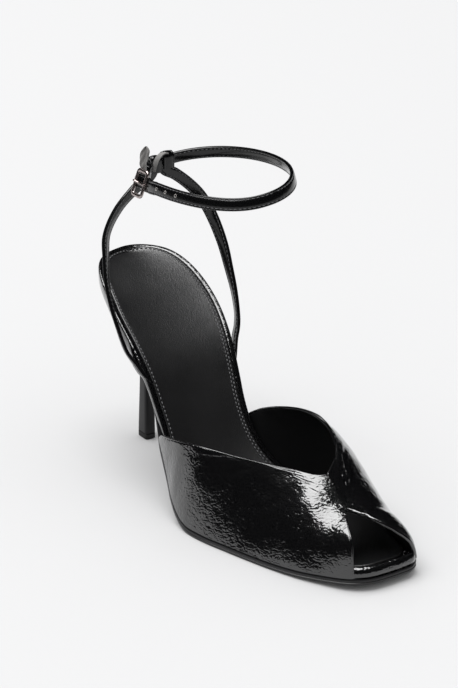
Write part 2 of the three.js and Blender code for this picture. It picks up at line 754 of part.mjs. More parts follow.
// The free end of the ankle strap passes behind the buckle and curls up over it.
const buckleAngle = 1.235 * Math.PI;
const keeperAngle = 1.125 * Math.PI;
function strapTail() {
  const { tangent } = loopFrame(buckleAngle);
  const inside = (strapThickness - tailThickness) / 2;
  const place = (forward, out, up) => nearLoop(
    buckleAngle,
    forward * strapWidth,
    inside + out * strapThickness,
    strapWidth / 2 + up * tailLength,
  );
  const path = new THREE.CatmullRomCurve3([
    nearLoop(buckleAngle, 0, inside, 0),
    place(0.05, 0, 0.08),
    place(0.15, 0.1, 0.45),
    place(0.27, 0.85, 0.75),
    place(0.3, 1.9, 0.95),
  ], false, 'centripetal');
  const steps = 9;
  const sections = [];
  for (let i = 0; i <= steps; i += 1) {
    const along = path.getTangentAt(i / steps);
    const width = tangent.clone().addScaledVector(along, -tangent.dot(along)).normalize();
    const face = new THREE.Vector3().crossVectors(width, along);
    sections.push(strapSection(path.getPointAt(i / steps), width, face, 0.9 * strapWidth, tailThickness));
  }
  return loftedSolid(sections, false);
}

// Straps: both slings and the ankle strap, joined where they cross behind the ankle.
function straps() {
  const pieces = [ankleLoop(), slingStrap(outerSling), slingStrap(innerSling), strapTail()];
  return fromManifold(pieces.map(toManifold).reduce((whole, strap) => whole.add(strap)));
}

function rectangle(width, height) {
  const shape = new THREE.Shape();
  shape.moveTo(-width / 2, -height / 2);
  shape.lineTo(width / 2, -height / 2);
  shape.lineTo(width / 2, height / 2);
  shape.lineTo(-width / 2, height / 2);
  shape.closePath();
  return shape;
}

// Turns a geometry drawn along, up and out into place on the ankle strap.
function placeOnLoop(geometry, angle, out) {
  const { tangent, upward } = loopFrame(angle);
  const facing = new THREE.Vector3().crossVectors(tangent, upward);
  const basis = new THREE.Matrix4().makeBasis(tangent, upward, facing);
  const place = nearLoop(angle, 0, out, 0);
  return geometry.applyMatrix4(basis.setPosition(place));
}

function buckleFrame() {
  const shape = rectangle(buckleWidth, buckleHeight);
  shape.holes.push(rectangle(buckleWidth - 2 * buckleBar, buckleHeight - 2 * buckleBar));
  const frame = new THREE.ExtrudeGeometry(shape, { depth: buckleDepth, bevelEnabled: false });
  return placeOnLoop(frame, buckleAngle, strapThickness / 2 + clearance);
}

// The prong rises from inside the frame and rests on its front bar.
function bucklePin() {
  const bar = strapThickness / 2 + clearance + buckleDepth;
  const rest = bar + clearance + prongThickness / 2;
  const { upward } = loopFrame(buckleAngle);
  const reach = buckleWidth / 2;
  const path = new THREE.CatmullRomCurve3([
    nearLoop(buckleAngle, buckleBar + prongThickness - reach, bar - clearance, 0),
    nearLoop(buckleAngle, -0.2 * reach, (bar + rest) / 2, 0),
    nearLoop(buckleAngle, 0.3 * reach, rest, 0),
    nearLoop(buckleAngle, 1.06 * reach, rest, 0),
  ], false, 'centripetal');
  const steps = 8;
  const sections = [];
  for (let i = 0; i <= steps; i += 1) {
    const face = new THREE.Vector3().crossVectors(upward, path.getTangentAt(i / steps)).normalize();
    sections.push(strapSection(path.getPointAt(i / steps), upward, face, prongWidth, prongThickness));
  }
  return loftedSolid(sections, false);
}

// The keeper is a leather band round the strap in front of the buckle.
function keeper() {
  const inner = [strapThickness + 3 * clearance, strapWidth + 2 * clearance];
  const shape = rectangle(inner[0] + 2 * keeperWall, inner[1] + 2 * keeperWall);
  shape.holes.push(rectangle(...inner));
  const band = new THREE.ExtrudeGeometry(shape, { depth: keeperWidth, bevelEnabled: false });
  band.translate(0, 0, -keeperWidth / 2);
  band.rotateY(Math.PI / 2);
  return placeOnLoop(band, keeperAngle, 0);
}
const finishes = {
  patent: { color: 0x0b0b0c, roughness: 0.18, metalness: 0 },
  sole: { color: 0x131313, roughness: 0.45, metalness: 0 },
  lining: { color: 0x1b1b1c, roughness: 0.5, metalness: 0 },
  heelCover: { color: 0x222224, roughness: 0.4, metalness: 0 },
  rubber: { color: 0x101010, roughness: 0.7, metalness: 0 },
  gunmetal: { color: 0x77716f, roughness: 0.25, metalness: 1 },
};

function piece(name, geometry, finish) {
  const mesh = new THREE.Mesh(geometry, new THREE.MeshStandardMaterial(finishes[finish]));
  mesh.name = name;
  return mesh;
}

const sandal = new THREE.Group();
sandal.add(
  piece('outsole', outsole(), 'sole'),
  piece('footbed', footbed(), 'patent'),
  piece('sock', sock(), 'lining'),
  piece('vamp', vamp(), 'patent'),
  piece('toe_binding', toeBinding(), 'patent'),
  piece('heel', heel(), 'heelCover'),
  piece('top_piece', topPiece(), 'rubber'),
  piece('straps', straps(), 'patent'),
  piece('buckle_frame', buckleFrame(), 'gunmetal'),
  piece('buckle_prong', bucklePin(), 'gunmetal'),
  piece('keeper', keeper(), 'patent'),
);

export default sandal;
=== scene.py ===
"""A right high-heeled peep-toe sandal in crinkled black patent leather, with a strap round the ankle."""

import math

import bmesh
import bpy
import numpy as np
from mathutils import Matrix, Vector, noise


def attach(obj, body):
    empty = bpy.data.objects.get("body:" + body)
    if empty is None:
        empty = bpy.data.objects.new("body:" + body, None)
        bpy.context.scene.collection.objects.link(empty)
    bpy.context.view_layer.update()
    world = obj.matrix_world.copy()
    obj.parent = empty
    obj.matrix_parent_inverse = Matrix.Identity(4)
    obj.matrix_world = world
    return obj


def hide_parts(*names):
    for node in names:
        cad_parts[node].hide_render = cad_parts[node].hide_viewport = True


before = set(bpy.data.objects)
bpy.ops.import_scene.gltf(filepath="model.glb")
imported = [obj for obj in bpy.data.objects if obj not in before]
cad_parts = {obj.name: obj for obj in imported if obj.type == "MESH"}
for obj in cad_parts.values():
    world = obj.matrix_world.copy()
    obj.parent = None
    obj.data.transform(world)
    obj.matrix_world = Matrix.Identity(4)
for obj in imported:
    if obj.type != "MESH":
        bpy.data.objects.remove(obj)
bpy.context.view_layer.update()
MM = 0.001


# Studio: a matt pale floor under one large softbox, in an even white room. The camera looks down at the toe
# from the outer side, at the photograph's angle.
camera_place = (762.2, -514.6, 479.4)
camera_forward = (-0.7735, 0.5, -0.3894)
focal_pixels = 2187.4
photo_height = 688
sensor = 36.0
half_floor = 6.0
room_strength = 1.77
softbox_size = (7.04, 7.68)
softbox_place = (-1.76, -2.0, 8.0)
softbox_power = 1422.0

scene = bpy.context.scene
scene.view_settings.view_transform = "Standard"
scene.view_settings.look = "None"


def add(name, data):
    made = bpy.data.objects.new(name, data)
    scene.collection.objects.link(made)
    return made


camera = add("camera", bpy.data.cameras.new("camera"))
camera.data.sensor_width = sensor
camera.data.lens = focal_pixels / photo_height * sensor
camera.data.clip_end = 50
camera.location = Vector(camera_place) * MM
camera.rotation_euler = Vector(camera_forward).to_track_quat("-Z", "Y").to_euler()
scene.camera = camera


def set_sockets(tree, made, settings):
    """Sets or links a node's sockets by name; any other setting is the node's own."""
    for key, value in settings.items():
        socket = key.replace("_", " ")
        if socket not in made.inputs:
            setattr(made, key, value)
        elif isinstance(value, bpy.types.NodeSocket):
            tree.links.new(value, made.inputs[socket])
        else:
            made.inputs[socket].default_value = value
    return made


def new_material(name, **settings):
    material = bpy.data.materials.new(name)
    material.use_nodes = True
    tree = material.node_tree
    return material, tree, set_sockets(tree, tree.nodes["Principled BSDF"], settings)


floor_mesh = bpy.data.meshes.new("floor")
bm = bmesh.new()
bmesh.ops.create_grid(bm, x_segments=1, y_segments=1, size=half_floor)
bm.to_mesh(floor_mesh)
bm.free()
floor_mesh.materials.append(new_material("pale floor", Base_Color=(0.279, 0.279, 0.281, 1), Roughness=0.9,
                                         IOR=1.2)[0])
floor = add("floor", floor_mesh)

room = bpy.data.worlds.new("studio")
scene.world = room
room.use_nodes = True
set_sockets(room.node_tree, room.node_tree.nodes["Background"],
            {"Color": (1, 1, 1, 1), "Strength": room_strength})
room.cycles_visibility.glossy = False
lamp = bpy.data.lights.new("overhead softbox", "AREA")
lamp.shape = "RECTANGLE"
lamp.size, lamp.size_y = softbox_size
lamp.energy = softbox_power
add("overhead softbox", lamp).location = softbox_place


# Outsole: a thin black resin sole, flat under the ball, that rises through the arch to the heel. A fine
# groove runs round its edge, under the upper. Sizes are in millimetres, and tables hold shares of them.
shoe_length = 219.0
ball_width = 82.0
heel_height = 95.0
clearance = 0.35
outsole_thickness = 2.9
heel_base_length, heel_base_width = 8.6, 6.0
heel_seat = (2.05, 2.2, 2.75, 0.036)
outline_steps = 38
ring_detail = 4
# Outline of the footbed from above: share of the length, share of the ball width.
OUTER_SIDE = [
    (-0.6265, 0.049), (-0.621, -0.037), (-0.6073, -0.128), (-0.58, -0.207), (-0.539, -0.266),
    (-0.484, -0.305), (-0.42, -0.335), (-0.347, -0.341), (-0.283, -0.339), (-0.2237, -0.351),
    (-0.1644, -0.388), (-0.11, -0.434), (-0.055, -0.454), (0, -0.437), (0.064, -0.39), (0.128, -0.339),
    (0.192, -0.282), (0.2466, -0.223), (0.292, -0.156), (0.3265, -0.1), (0.3493, -0.039), (0.3607, 0.03),
    (0.3635, 0.122),
]
INNER_SIDE = [
    (-0.6265, 0.049), (-0.622, 0.122), (-0.605, 0.201), (-0.566, 0.29), (-0.516, 0.341), (-0.457, 0.359),
    (-0.393, 0.351), (-0.329, 0.317), (-0.274, 0.278), (-0.2237, 0.244), (-0.1735, 0.244), (-0.128, 0.287),
    (-0.082, 0.36), (-0.0365, 0.433), (0.0137, 0.485), (0.064, 0.495), (0.1187, 0.476), (0.1735, 0.446),
    (0.228, 0.41), (0.274, 0.371), (0.315, 0.352), (0.3425, 0.338), (0.357, 0.303), (0.3625, 0.225),
    (0.3635, 0.122),
]
# Side view of the sole: share of the length, underside over the heel height, edge depth over that at the
# heel, and how far the outsole draws in, over the ball width.
SOLE_LINE = [
    (-0.6265, 0.869, 1, 0.06), (-0.584, 0.857, 1, 0.06), (-0.55, 0.836, 0.98, 0.06),
    (-0.499, 0.789, 0.95, 0.06), (-0.45, 0.737, 0.91, 0.058), (-0.3995, 0.674, 0.86, 0.05),
    (-0.345, 0.595, 0.77, 0.035), (-0.3, 0.505, 0.69, 0.028), (-0.26, 0.4, 0.62, 0.01),
    (-0.2224, 0.3, 0.56, -0.02), (-0.201, 0.246, 0.52, -0.0268), (-0.1735, 0.181, 0.48, -0.0268),
    (-0.146, 0.122, 0.45, -0.0268), (-0.1187, 0.072, 0.43, -0.0268), (-0.0913, 0.034, 0.41, -0.0268),
    (-0.064, 0.011, 0.39, -0.0268), (-0.0365, 0, 0.38, -0.0268), (0.146, 0, 0.37, -0.0268),
    (0.2055, 0.0032, 0.37, -0.0268), (0.274, 0.0126, 0.38, -0.0268), (0.329, 0.0242, 0.4, -0.0268),
    (0.3744, 0.034, 0.42, -0.0268),
]


def smooth_curve(points, closed=False):
    """A function from 0..1 to a point on a centripetal curve through the points."""
    pts = np.asarray(points, float)
    if closed:
        pts = np.concatenate([pts[-1:], pts, pts[:2]])
    else:
        pts = np.concatenate([2 * pts[:1] - pts[1:2], pts, 2 * pts[-1:] - pts[-2:-1]])
    spans = len(pts) - 3

    def at(t):
        i = int(min(t * spans, spans - 1))
        w = t * spans - i
        p0, p1, p2, p3 = pts[i:i + 4]
        d0, d1, d2 = (max(math.sqrt(np.linalg.norm(b - a)), 1e-4) for a, b in ((p0, p1), (p1, p2), (p2, p3)))
        t1 = ((p1 - p0) / d0 - (p2 - p0) / (d0 + d1) + (p2 - p1) / d1) * d1
        t2 = ((p2 - p1) / d1 - (p3 - p1) / (d1 + d2) + (p3 - p2) / d2) * d1
        return p1 + t1 * w + (3 * (p2 - p1) - 2 * t1 - t2) * w * w + (2 * (p1 - p2) + t1 + t2) * w ** 3

    return at


def unit(vectors):
    return vectors / np.linalg.norm(vectors, axis=-1, keepdims=True)


def rotated(first, second, turn):
    """Two directions square to each other, turned in their plane."""
    c, s = math.cos(turn), math.sin(turn)
    return first * c - second * s, second * c + first * s


def steps_round(line):
    """From the point before to the point after, all round a closed line."""
    return np.roll(line, -1, axis=0) - np.roll(line, 1, axis=0)


def run_along(line):
    """The length run along a line at each of its points."""
    return np.concatenate([[0], np.cumsum(np.linalg.norm(np.diff(line, axis=0), axis=1))])


def even_steps(dense, count):
    """A dense line of points resampled at even steps of its length."""
    run = run_along(dense)
    wanted = np.linspace(0, run[-1], count + 1)
    return np.stack([np.interp(wanted, run, dense[:, k]) for k in range(dense.shape[1])], axis=1)


def spaced(points, count, fine=600):
    """Points at even steps along the curve through the points."""
    at = smooth_curve(points)
    return even_steps(np.array([at(k / fine) for k in range(fine + 1)]), count)


def table(rows, column):
    """A function of x in millimetres, smooth between a table's rows and never past them."""
    x = np.array([row[0] for row in rows], float) * shoe_length
    y = np.array([row[column] for row in rows], float)
    slope = np.diff(y) / np.diff(x)
    before, after = slope[:-1], slope[1:]
    flat = before * after <= 0
    mean = np.where(flat, 0, 2 * before * after / np.where(flat, 1, before + after))
    tangent = np.concatenate([[slope[0]], mean, [slope[-1]]])

    def at(where):
        where = np.clip(where, x[0], x[-1])
        i = np.clip(np.searchsorted(x, where, side="right") - 1, 0, len(x) - 2)
        step = x[i + 1] - x[i]
        t = (where - x[i]) / step
        rise = t * t * (3 - 2 * t)
        ease = tangent[i] * step * t * (1 - t) ** 2 + tangent[i + 1] * step * t * t * (t - 1)
        return y[i] + (y[i + 1] - y[i]) * rise + ease

    return at


def smooth_step(low, high, x):
    t = np.clip((x - low) / (high - low), 0, 1)
    return t * t * (3 - 2 * t)


ground_share = table(SOLE_LINE, 1)
waist_share = table(SOLE_LINE, 3)


def ground(x):
    return ground_share(x) * heel_height


def gap(x):
    """The clearance, wider where the sole is steep."""
    return clearance * np.hypot(1, ground(x + 0.5) - ground(x - 0.5))


def plan(rows):
    return [(a * shoe_length, s * ball_width) for a, s in rows]


# The outline from above as a coarse ring with outward normals; every sole piece is an inset of it.
outer_plan = spaced(plan(OUTER_SIDE), outline_steps)
inner_plan = spaced(plan(INNER_SIDE), outline_steps)
outline = np.concatenate([outer_plan, inner_plan[1:-1][::-1]])
outline_normal = unit(steps_round(outline) @ np.array([[0, -1], [1, 0]]))


def ring(inset, height):
    """The outline drawn in by inset(x), refined, at height(x)."""
    coarse = outline - outline_normal * inset(outline[:, 0])[:, None]
    at = smooth_curve(coarse, closed=True)
    count = len(coarse) * ring_detail
    fine = np.array([at(k / count) for k in range(count)])
    return np.column_stack([fine, height(fine[:, 0])])


def patched(name, patches, materials, kinds=None, uvs=None, sharp=None, filled=True):
    """A smooth mesh of grids of points in millimetres, joined where they meet, with open ends filled."""
    bm = bmesh.new()
    for kind, points in zip(kinds or [0] * len(patches), patches):
        rows, columns = points.shape[:2]
        made = bmesh.ops.create_grid(bm, x_segments=columns - 1, y_segments=rows - 1, size=1)["verts"]
        for vert, point in zip(made, (points * MM).reshape(-1, 3)):
            vert.co = point
            for face in vert.link_faces:
                face.material_index = kind
    if uvs is not None:
        surface = bm.loops.layers.uv.new("surface")
        for vert, uv in zip(bm.verts, uvs.reshape(-1, 2)):
            for loop in vert.link_loops:
                loop[surface].uv = uv
    bmesh.ops.remove_doubles(bm, verts=bm.verts, dist=1e-7)
    if filled:
        bmesh.ops.holes_fill(bm, edges=bm.edges, sides=0)
    bmesh.ops.recalc_face_normals(bm, faces=bm.faces)
    mesh = bpy.data.meshes.new(name)
    bm.to_mesh(mesh)
    bm.free()
    for material in materials:
        mesh.materials.append(material)
    mesh.shade_smooth()
    if sharp is not None:
        mesh.set_sharp_from_angle(angle=math.radians(sharp))
    return add(name, mesh)


def lid(edge, columns, height):
    """Rows across a ring from side to side, at height(x, share of the way across) between its sides."""
    half = len(edge) // 2
    share = np.linspace(0, 1, columns + 1)[None, :]
    left, right = edge[: half + 1, None], edge[-np.arange(half + 1), None]
    rows = left + (right - left) * share[..., None]
    rows[1:-1, 1:-1, 2] = height(rows[1:-1, 1:-1, 0], share[:, 1:-1])
    return rows


def stacked(name, rings, columns, below, above, materials, sharp=None):
    """Rings stacked into a solid, closed below and above by rows that cross from side to side."""
    rings = np.asarray(rings)
    sides = np.concatenate([rings, rings[:, :1]], axis=1)
    return patched(name, [sides, lid(rings[0], columns, below), lid(rings[-1], columns, above)], materials,
                   sharp=sharp)


def node(tree, kind, **settings):
    return set_sockets(tree, tree.nodes.new("ShaderNode" + kind), settings)


def object_place(tree, scale=1.0):
    """Coordinates on the object, in metres times a scale."""
    coordinates = node(tree, "TexCoord")
    return node(tree, "Mapping", Vector=coordinates.outputs["Object"], Scale=(scale,) * 3).outputs["Vector"]


def uneven_gloss(tree, shader, clouds, roughness, reach):
    spread = node(tree, "MapRange", Value=clouds, To_Min=roughness - reach, To_Max=roughness + reach)
    tree.links.new(spread.outputs["Result"], shader.inputs["Roughness"])


def bumped(tree, shader, height, depth, strength=1.0, sockets=("Normal",)):
    """Relief on a shader, with its depth in metres."""
    bump = node(tree, "Bump", Height=height, Strength=strength, Distance=depth)
    for socket in sockets:
        tree.links.new(bump.outputs["Normal"], shader.inputs[socket])


def plain_finish(name, colour, roughness, metallic=0.0, ripple=60.0, strength=0.05, specular=0.5):
    """A hard finish with slightly uneven gloss and a very low ripple."""
    material, tree, shader = new_material(name, Base_Color=(*colour, 1), Metallic=metallic,
                                          Specular_IOR_Level=specular)
    clouds = node(tree, "TexNoise", Vector=object_place(tree), Scale=ripple, Detail=4.0).outputs["Fac"]
    uneven_gloss(tree, shader, clouds, roughness, 0.06)
    bumped(tree, shader, clouds, 0.0001, strength)
    return material


def finish(piece, slot, *nodes):
    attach(piece, "root")
    if nodes:
        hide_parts(*nodes)


# Each level of the edge: how far it draws in and how high it is.
sole_levels = [(0.6, 0.0), (0.15, 0.18), (0, 0.55), (0, 1.25), (0.28, 1.5), (0.28, 1.7), (0, 1.95), (0, 2.5),
               (0.2, 2.8), (0.55, 2.9)]
sole_rings = [ring(lambda x: waist_share(x) * ball_width + extra, lambda x: ground(x) + up)
              for extra, up in sole_levels]
sole_finish = plain_finish("black resin sole", (0.007, 0.007, 0.0075), 0.3, specular=0.4)
outsole = stacked("outsole_shell", sole_rings, 12, lambda x, s: ground(x),
                  lambda x, s: ground(x) + outsole_thickness, [sole_finish], sharp=40)
heel_middle = OUTER_SIDE[0][0] * shoe_length + 25.9
sole_back = heel_middle + heel_seat[1] * heel_base_length + 4 * clearance
bm = bmesh.new()
bm.from_mesh(outsole.data)
bmesh.ops.bisect_plane(bm, geom=bm.verts[:] + bm.edges[:] + bm.faces[:], plane_co=(sole_back * MM, 0, 0),
                       plane_no=(-1, 0, 0), clear_outer=True)
bmesh.ops.holes_fill(bm, edges=bm.edges, sides=0)
bm.to_mesh(outsole.data)
bm.free()
finish(outsole, "sole", "outsole")


# Footbed: insole board and shank wrapped in crinkled patent. A rounded edge stands round a band that slopes
# down to the sock; under the toes the sock hides the band. It draws in under the vamp and the toe binding.
heel_edge_depth = 9.6
sock_thickness = 1.3
footbed_dish = 1.6
rim_roll = 2.7
upper_wall = 1.6
toe_binding_depth = 5.4
sole_margin = 0.3
patent_black = (0.0015, 0.0015, 0.0017, 1)
patent_faces = ("Normal", "Coat Normal")
edge_share = table(SOLE_LINE, 2)


def footbed_base(x):
    return ground(x) + outsole_thickness + gap(x)


def edge_depth(x):
    return edge_share(x) * heel_edge_depth


def footbed_rim(x):
    return footbed_base(x) + edge_depth(x)


def sock_bed(x):
    return footbed_rim(x) - sock_thickness - gap(x)


def draw_in(x):
    under_vamp = 0.35 * smooth_step(-0.25 * shoe_length, -0.21 * shoe_length, x)
    at_toe = toe_binding_depth - sole_margin - upper_wall
    return under_vamp + at_toe * smooth_step(0.3 * shoe_length, 0.345 * shoe_length, x)


def dish(share):
    """How deep the dish is at a share of the way across."""
    return footbed_dish * 4 * share * (1 - share)


def under_toes(x):
    return smooth_step(25, 45, x)


def footbed_inset(share):
    return lambda x: share * rim_roll + draw_in(x)


def footbed_height(drop, sink):
    return lambda x: footbed_rim(x) - drop * edge_depth(x) - sink - 0.5 * under_toes(x) * (1 - drop)


def math_node(tree, operation, *values):
    made = node(tree, "Math", operation=operation)
    for socket, value in zip(made.inputs, values):
        if isinstance(value, bpy.types.NodeSocket):
            tree.links.new(value, socket)
        else:
            socket.default_value = value
    return made.outputs["Value"]


def crinkled_patent(name, cell, depth):
    """Black patent leather with short puffs across the foot and thin furrows between them."""
    material, tree, shader = new_material(name, Base_Color=patent_black, Roughness=0.2, IOR=1.5,
                                          Coat_Weight=1.0, Coat_IOR=1.55, Coat_Roughness=0.045)
    body = object_place(tree, 1000.0)
    warp = node(tree, "TexNoise", Vector=body, Scale=0.25, Detail=2.5, Roughness=0.6)
    shift = node(tree, "VectorMath", operation="SCALE", Vector=warp.outputs["Color"], Scale=4.0)
    moved = node(tree, "Mapping", Vector=body, Location=shift.outputs["Vector"])
    place = node(tree, "Mapping", vector_type="TEXTURE", Vector=moved.outputs["Vector"],
                 Scale=(2.0 * cell, cell, cell), Rotation=(0, 0, math.radians(57)))
    puffs = node(tree, "TexVoronoi", feature="SMOOTH_F1", Vector=place.outputs["Vector"], Scale=1.0,
                 Smoothness=0.35).outputs["Distance"]
    broad = node(tree, "TexNoise", Vector=body, Scale=0.3, Detail=2.0, Roughness=0.5)
    patch = node(tree, "TexNoise", Vector=body, Scale=0.075, Detail=1.0)
    strength = node(tree, "MapRange", Value=patch.outputs["Fac"], From_Min=0.38, From_Max=0.62, To_Min=0.45)
    dome = math_node(tree, "MULTIPLY", puffs, puffs)
    crinkle = math_node(tree, "MULTIPLY", dome, strength.outputs["Result"])
    swell = math_node(tree, "MULTIPLY", broad.outputs["Fac"], 0.7)
    height = math_node(tree, "SUBTRACT", swell, crinkle)
    bumped(tree, shader, height, depth * MM, sockets=patent_faces)
    return material


# Each level of the wrap: inset over the roll, depth over the edge's, and a sink towards the sock.
footbed_levels = [
    (1.25, 1, 0), (0.8, 0.985, 0), (0.42, 0.9, 0), (0.14, 0.77, 0), (0, 0.62, 0), (0, 0.45, 0),
    (0, 0.27, 0), (0.02, 0.15, 0), (0.08, 0.07, 0), (0.18, 0.02, 0), (0.3, 0, 0.01), (0.42, 0, 0.05),
    (0.7, 0, 0.18), (0.95, 0, 0.32), (1.04, 0, 0.6),
]
footbed_rings = [ring(footbed_inset(share), footbed_height(drop, sink))
                 for share, drop, sink in footbed_levels]
footbed_rings.append(ring(footbed_inset(1.06), sock_bed))
footbed_finish = crinkled_patent("footbed patent", 1.2, 0.13)
footbed = stacked("footbed_wrap", footbed_rings, 10, lambda x, share: footbed_base(x),
                  lambda x, share: sock_bed(x) - dish(share), [footbed_finish])
finish(footbed, "patent", "footbed")


# Sock: satin black lining leather glued into the dish of the footbed, with stitches round its edge, and a
# second row along the inner side of the forefoot.
sock_inset = 3.0


def sock_level(x):
    return footbed_rim(x) - 0.3 + 0.5 * under_toes(x)


def sock_height(drop):
    return lambda x: sock_level(x) - drop * 0.9


def sock_edge(share):
    return lambda x: sock_inset + (0.3 - sock_inset) * under_toes(x) + share * sock_thickness + draw_in(x)


def satin_leather(name, colour, roughness, grain_size, strength, specular=0.22):
    """Smooth leather with a fine pebbled grain and slightly uneven sheen."""
    material, tree, shader = new_material(name, Base_Color=(*colour, 1), IOR=1.45,
                                          Specular_IOR_Level=specular)
    cells = node(tree, "TexVoronoi", feature="SMOOTH_F1", Vector=object_place(tree, 1 / (grain_size * MM)),
                 Scale=1.0)
    clouds = node(tree, "TexNoise", Vector=object_place(tree), Scale=60.0, Detail=3.0).outputs["Fac"]
    uneven_gloss(tree, shader, clouds, roughness, 0.07)
    bumped(tree, shader, cells.outputs["Distance"], 0.00008, strength)
    return material


sock_levels = [(0, 1), (0, 0.45), (0.1, 0.2), (0.25, 0.05), (0.4, 0)]
sock_rings = [ring(sock_edge(share), sock_height(drop)) for share, drop in sock_levels]
sock_finish = satin_leather("sock leather", (0.004, 0.004, 0.0043), 0.32, 0.45, 1.0, specular=0.95)
sock = stacked("sock_leather", sock_rings, 28, lambda x, share: sock_height(1)(x) - dish(share),
               lambda x, share: sock_level(x) - dish(share), [sock_finish])
finish(sock, "lining", "sock")

# A stitch from end to end: share of its length, thickness and lift over the thread's radius.
STITCH = np.array([(0, 0.25, -0.3), (0.2, 0.9, 0.25), (0.5, 1, 0.45), (0.8, 0.9, 0.25), (1, 0.25, -0.3)])


def stitches(name, lines, pitch, length, radius):
    """Rows of thread: each stitch is a small bar with pointed ends, laid along a line with its normals."""
    turns = np.linspace(0, 2 * math.pi, 7)
    share, thick, lift = STITCH.T[:, :, None]
    bars = []
    for path, normals in lines:
        run = run_along(path)
        for middle in (np.arange(int(run[-1] / pitch)) + 0.5) * pitch:
            places = ((path, middle - length / 2), (path, middle + length / 2), (normals, middle))
            start, end, normal = (np.array([np.interp(at, run, line[:, k]) for k in range(3)])
                                  for line, at in places)
            side = unit(np.cross(end - start, normal))
            normal = unit(np.cross(side, end - start))
            spine = start + (end - start) * share + normal * radius * lift
            around = np.outer(np.cos(turns), side) + np.outer(np.sin(turns), normal)
            bars.append(spine[:, None] + around * radius * thick[..., None])
    return patched(name, bars, [thread])


def sock_line(inset, from_x, to_x):
    """A line on the sock's top, drawn in from its edge, with its normals: the outer side, then the inner."""
    edge = ring(lambda x: sock_edge(0.4)(x) + inset, sock_level)
    count = len(edge)
    opposite = np.array([edge[(count - i) % count] for i in range(count)])
    width = np.linalg.norm(edge[:, :2] - opposite[:, :2], axis=1)
    share = np.clip(inset / np.maximum(width + 2 * inset, 1), 0, 0.5)
    edge[:, 2] -= dish(share)
    rise = sock_level(edge[:, 0] + 0.5) - sock_level(edge[:, 0] - 0.5)
    normals = np.column_stack([-rise, np.zeros(count), np.ones(count)])
    keep = (edge[:, 0] > from_x) & (edge[:, 0] < to_x)
    half = count // 2
    lines = []
    for side in (range(0, half + 1), range(count - 1, half, -1)):
        chosen = [i for i in side if keep[i]]
        lines.append((even_steps(edge[chosen], 300), even_steps(normals[chosen], 300)))
    return lines


thread = plain_finish("black thread", (0.06, 0.06, 0.063), 0.45)
sock_rows = sock_line(0.7, -200, 20) + sock_line(1.9, -110, 20)[1:]
finish(stitches("sock_stitches", sock_rows, 2.2, 1.4, 0.28), "lining")


# Vamp: two panels of crinkled patent crossed over the instep, lined in black leather and lasted over the
# forefoot. They meet along the ridge, from the point of the throat to the top of the peep.
instep_height = 74.0
vamp_columns = 64
vamp_rows = 150
section_roundness = 0.8
outer_lean = 3.2
edge_turn = 0.55
# Top line of the last: share of the length, crest over the instep height, ridge over the ball width,
# and the fullness of the outer and the inner side.
LAST_LINE = [
    (-0.2237, 1, -0.049, 1.2, 1), (-0.16, 0.946, -0.024, 1.2, 1), (-0.0913, 0.892, -0.012, 1.35, 0.95),
    (-0.0228, 0.838, 0.012, 1.75, 0.95), (0.0685, 0.743, 0.05, 1.85, 1.12), (0.128, 0.649, 0.065, 1.8, 1.2),
    (0.1836, 0.541, 0.065, 1.5, 1.22), (0.2215, 0.46, 0.06, 1.35, 0.95), (0.26, 0.392, 0.058, 1.2, 0.67),
    (0.3014, 0.382, 0.085, 0.95, 0.66), (0.333, 0.345, 0.11, 0.5, 0.64), (0.3635, 0.28, 0.122, 0.4, 0.7),
]
# Edges of the vamp from the sole up to the middle: share of the length, height over the instep height.
OUTER_THROAT = [
    (-0.2215, 0.43), (-0.2055, 0.463), (-0.16, 0.499), (-0.0913, 0.539), (-0.0228, 0.547), (0.0457, 0.549),
    (0.1142, 0.545), (0.1836, 0.541),
]
INNER_THROAT = [
    (-0.2215, 0.43), (-0.2, 0.475), (-0.1697, 0.528), (-0.1278, 0.582), (-0.085, 0.622), (-0.0407, 0.65),
    (0, 0.654), (0.032, 0.634), (0.0635, 0.612), (0.095, 0.602), (0.1264, 0.594), (0.1454, 0.582),
    (0.1683, 0.558), (0.1836, 0.541),
]
OUTER_PEEP = [
    (0.346, 0.08), (0.343, 0.13), (0.3394, 0.2), (0.3329, 0.277), (0.3215, 0.326), (0.3016, 0.36),
    (0.2794, 0.383), (0.26, 0.392),
]
INNER_PEEP = [
    (0.3479, 0.08), (0.3525, 0.16), (0.3547, 0.245), (0.3462, 0.299), (0.3296, 0.346), (0.3065, 0.375),
    (0.2827, 0.386), (0.26, 0.392),
]


def eased(line, reach=4.0):
    """A table's function averaged over a short way to either side, so that its bends are soft."""
    return lambda x: sum(line(x + reach * share) for share in (-1, -0.5, 0, 0.5, 1)) / 5


crest_share = eased(table(LAST_LINE, 1))
ridge_share = eased(table(LAST_LINE, 2))
outer_fullness = eased(table(LAST_LINE, 3))
inner_fullness = eased(table(LAST_LINE, 4), 8.0)
outer_line = table(OUTER_SIDE, 1)
inner_line = table(INNER_SIDE, 1)
throat_height = table(OUTER_THROAT, 1)


def vamp_foot(x):
    return footbed_base(x) + 0.8 * gap(x)


def crest_height(x):
    return crest_share(x) * instep_height


def foot_point(side, x):
    line = outer_line if side < 0 else inner_line
    step = 0.002 * shoe_length
    here = line(x) * ball_width
    rise = line(x + step) * ball_width - here
    size = np.hypot(step, rise)
    reach = upper_wall + clearance + 0.1
    return x - side * rise / size * reach, here + side * step / size * reach


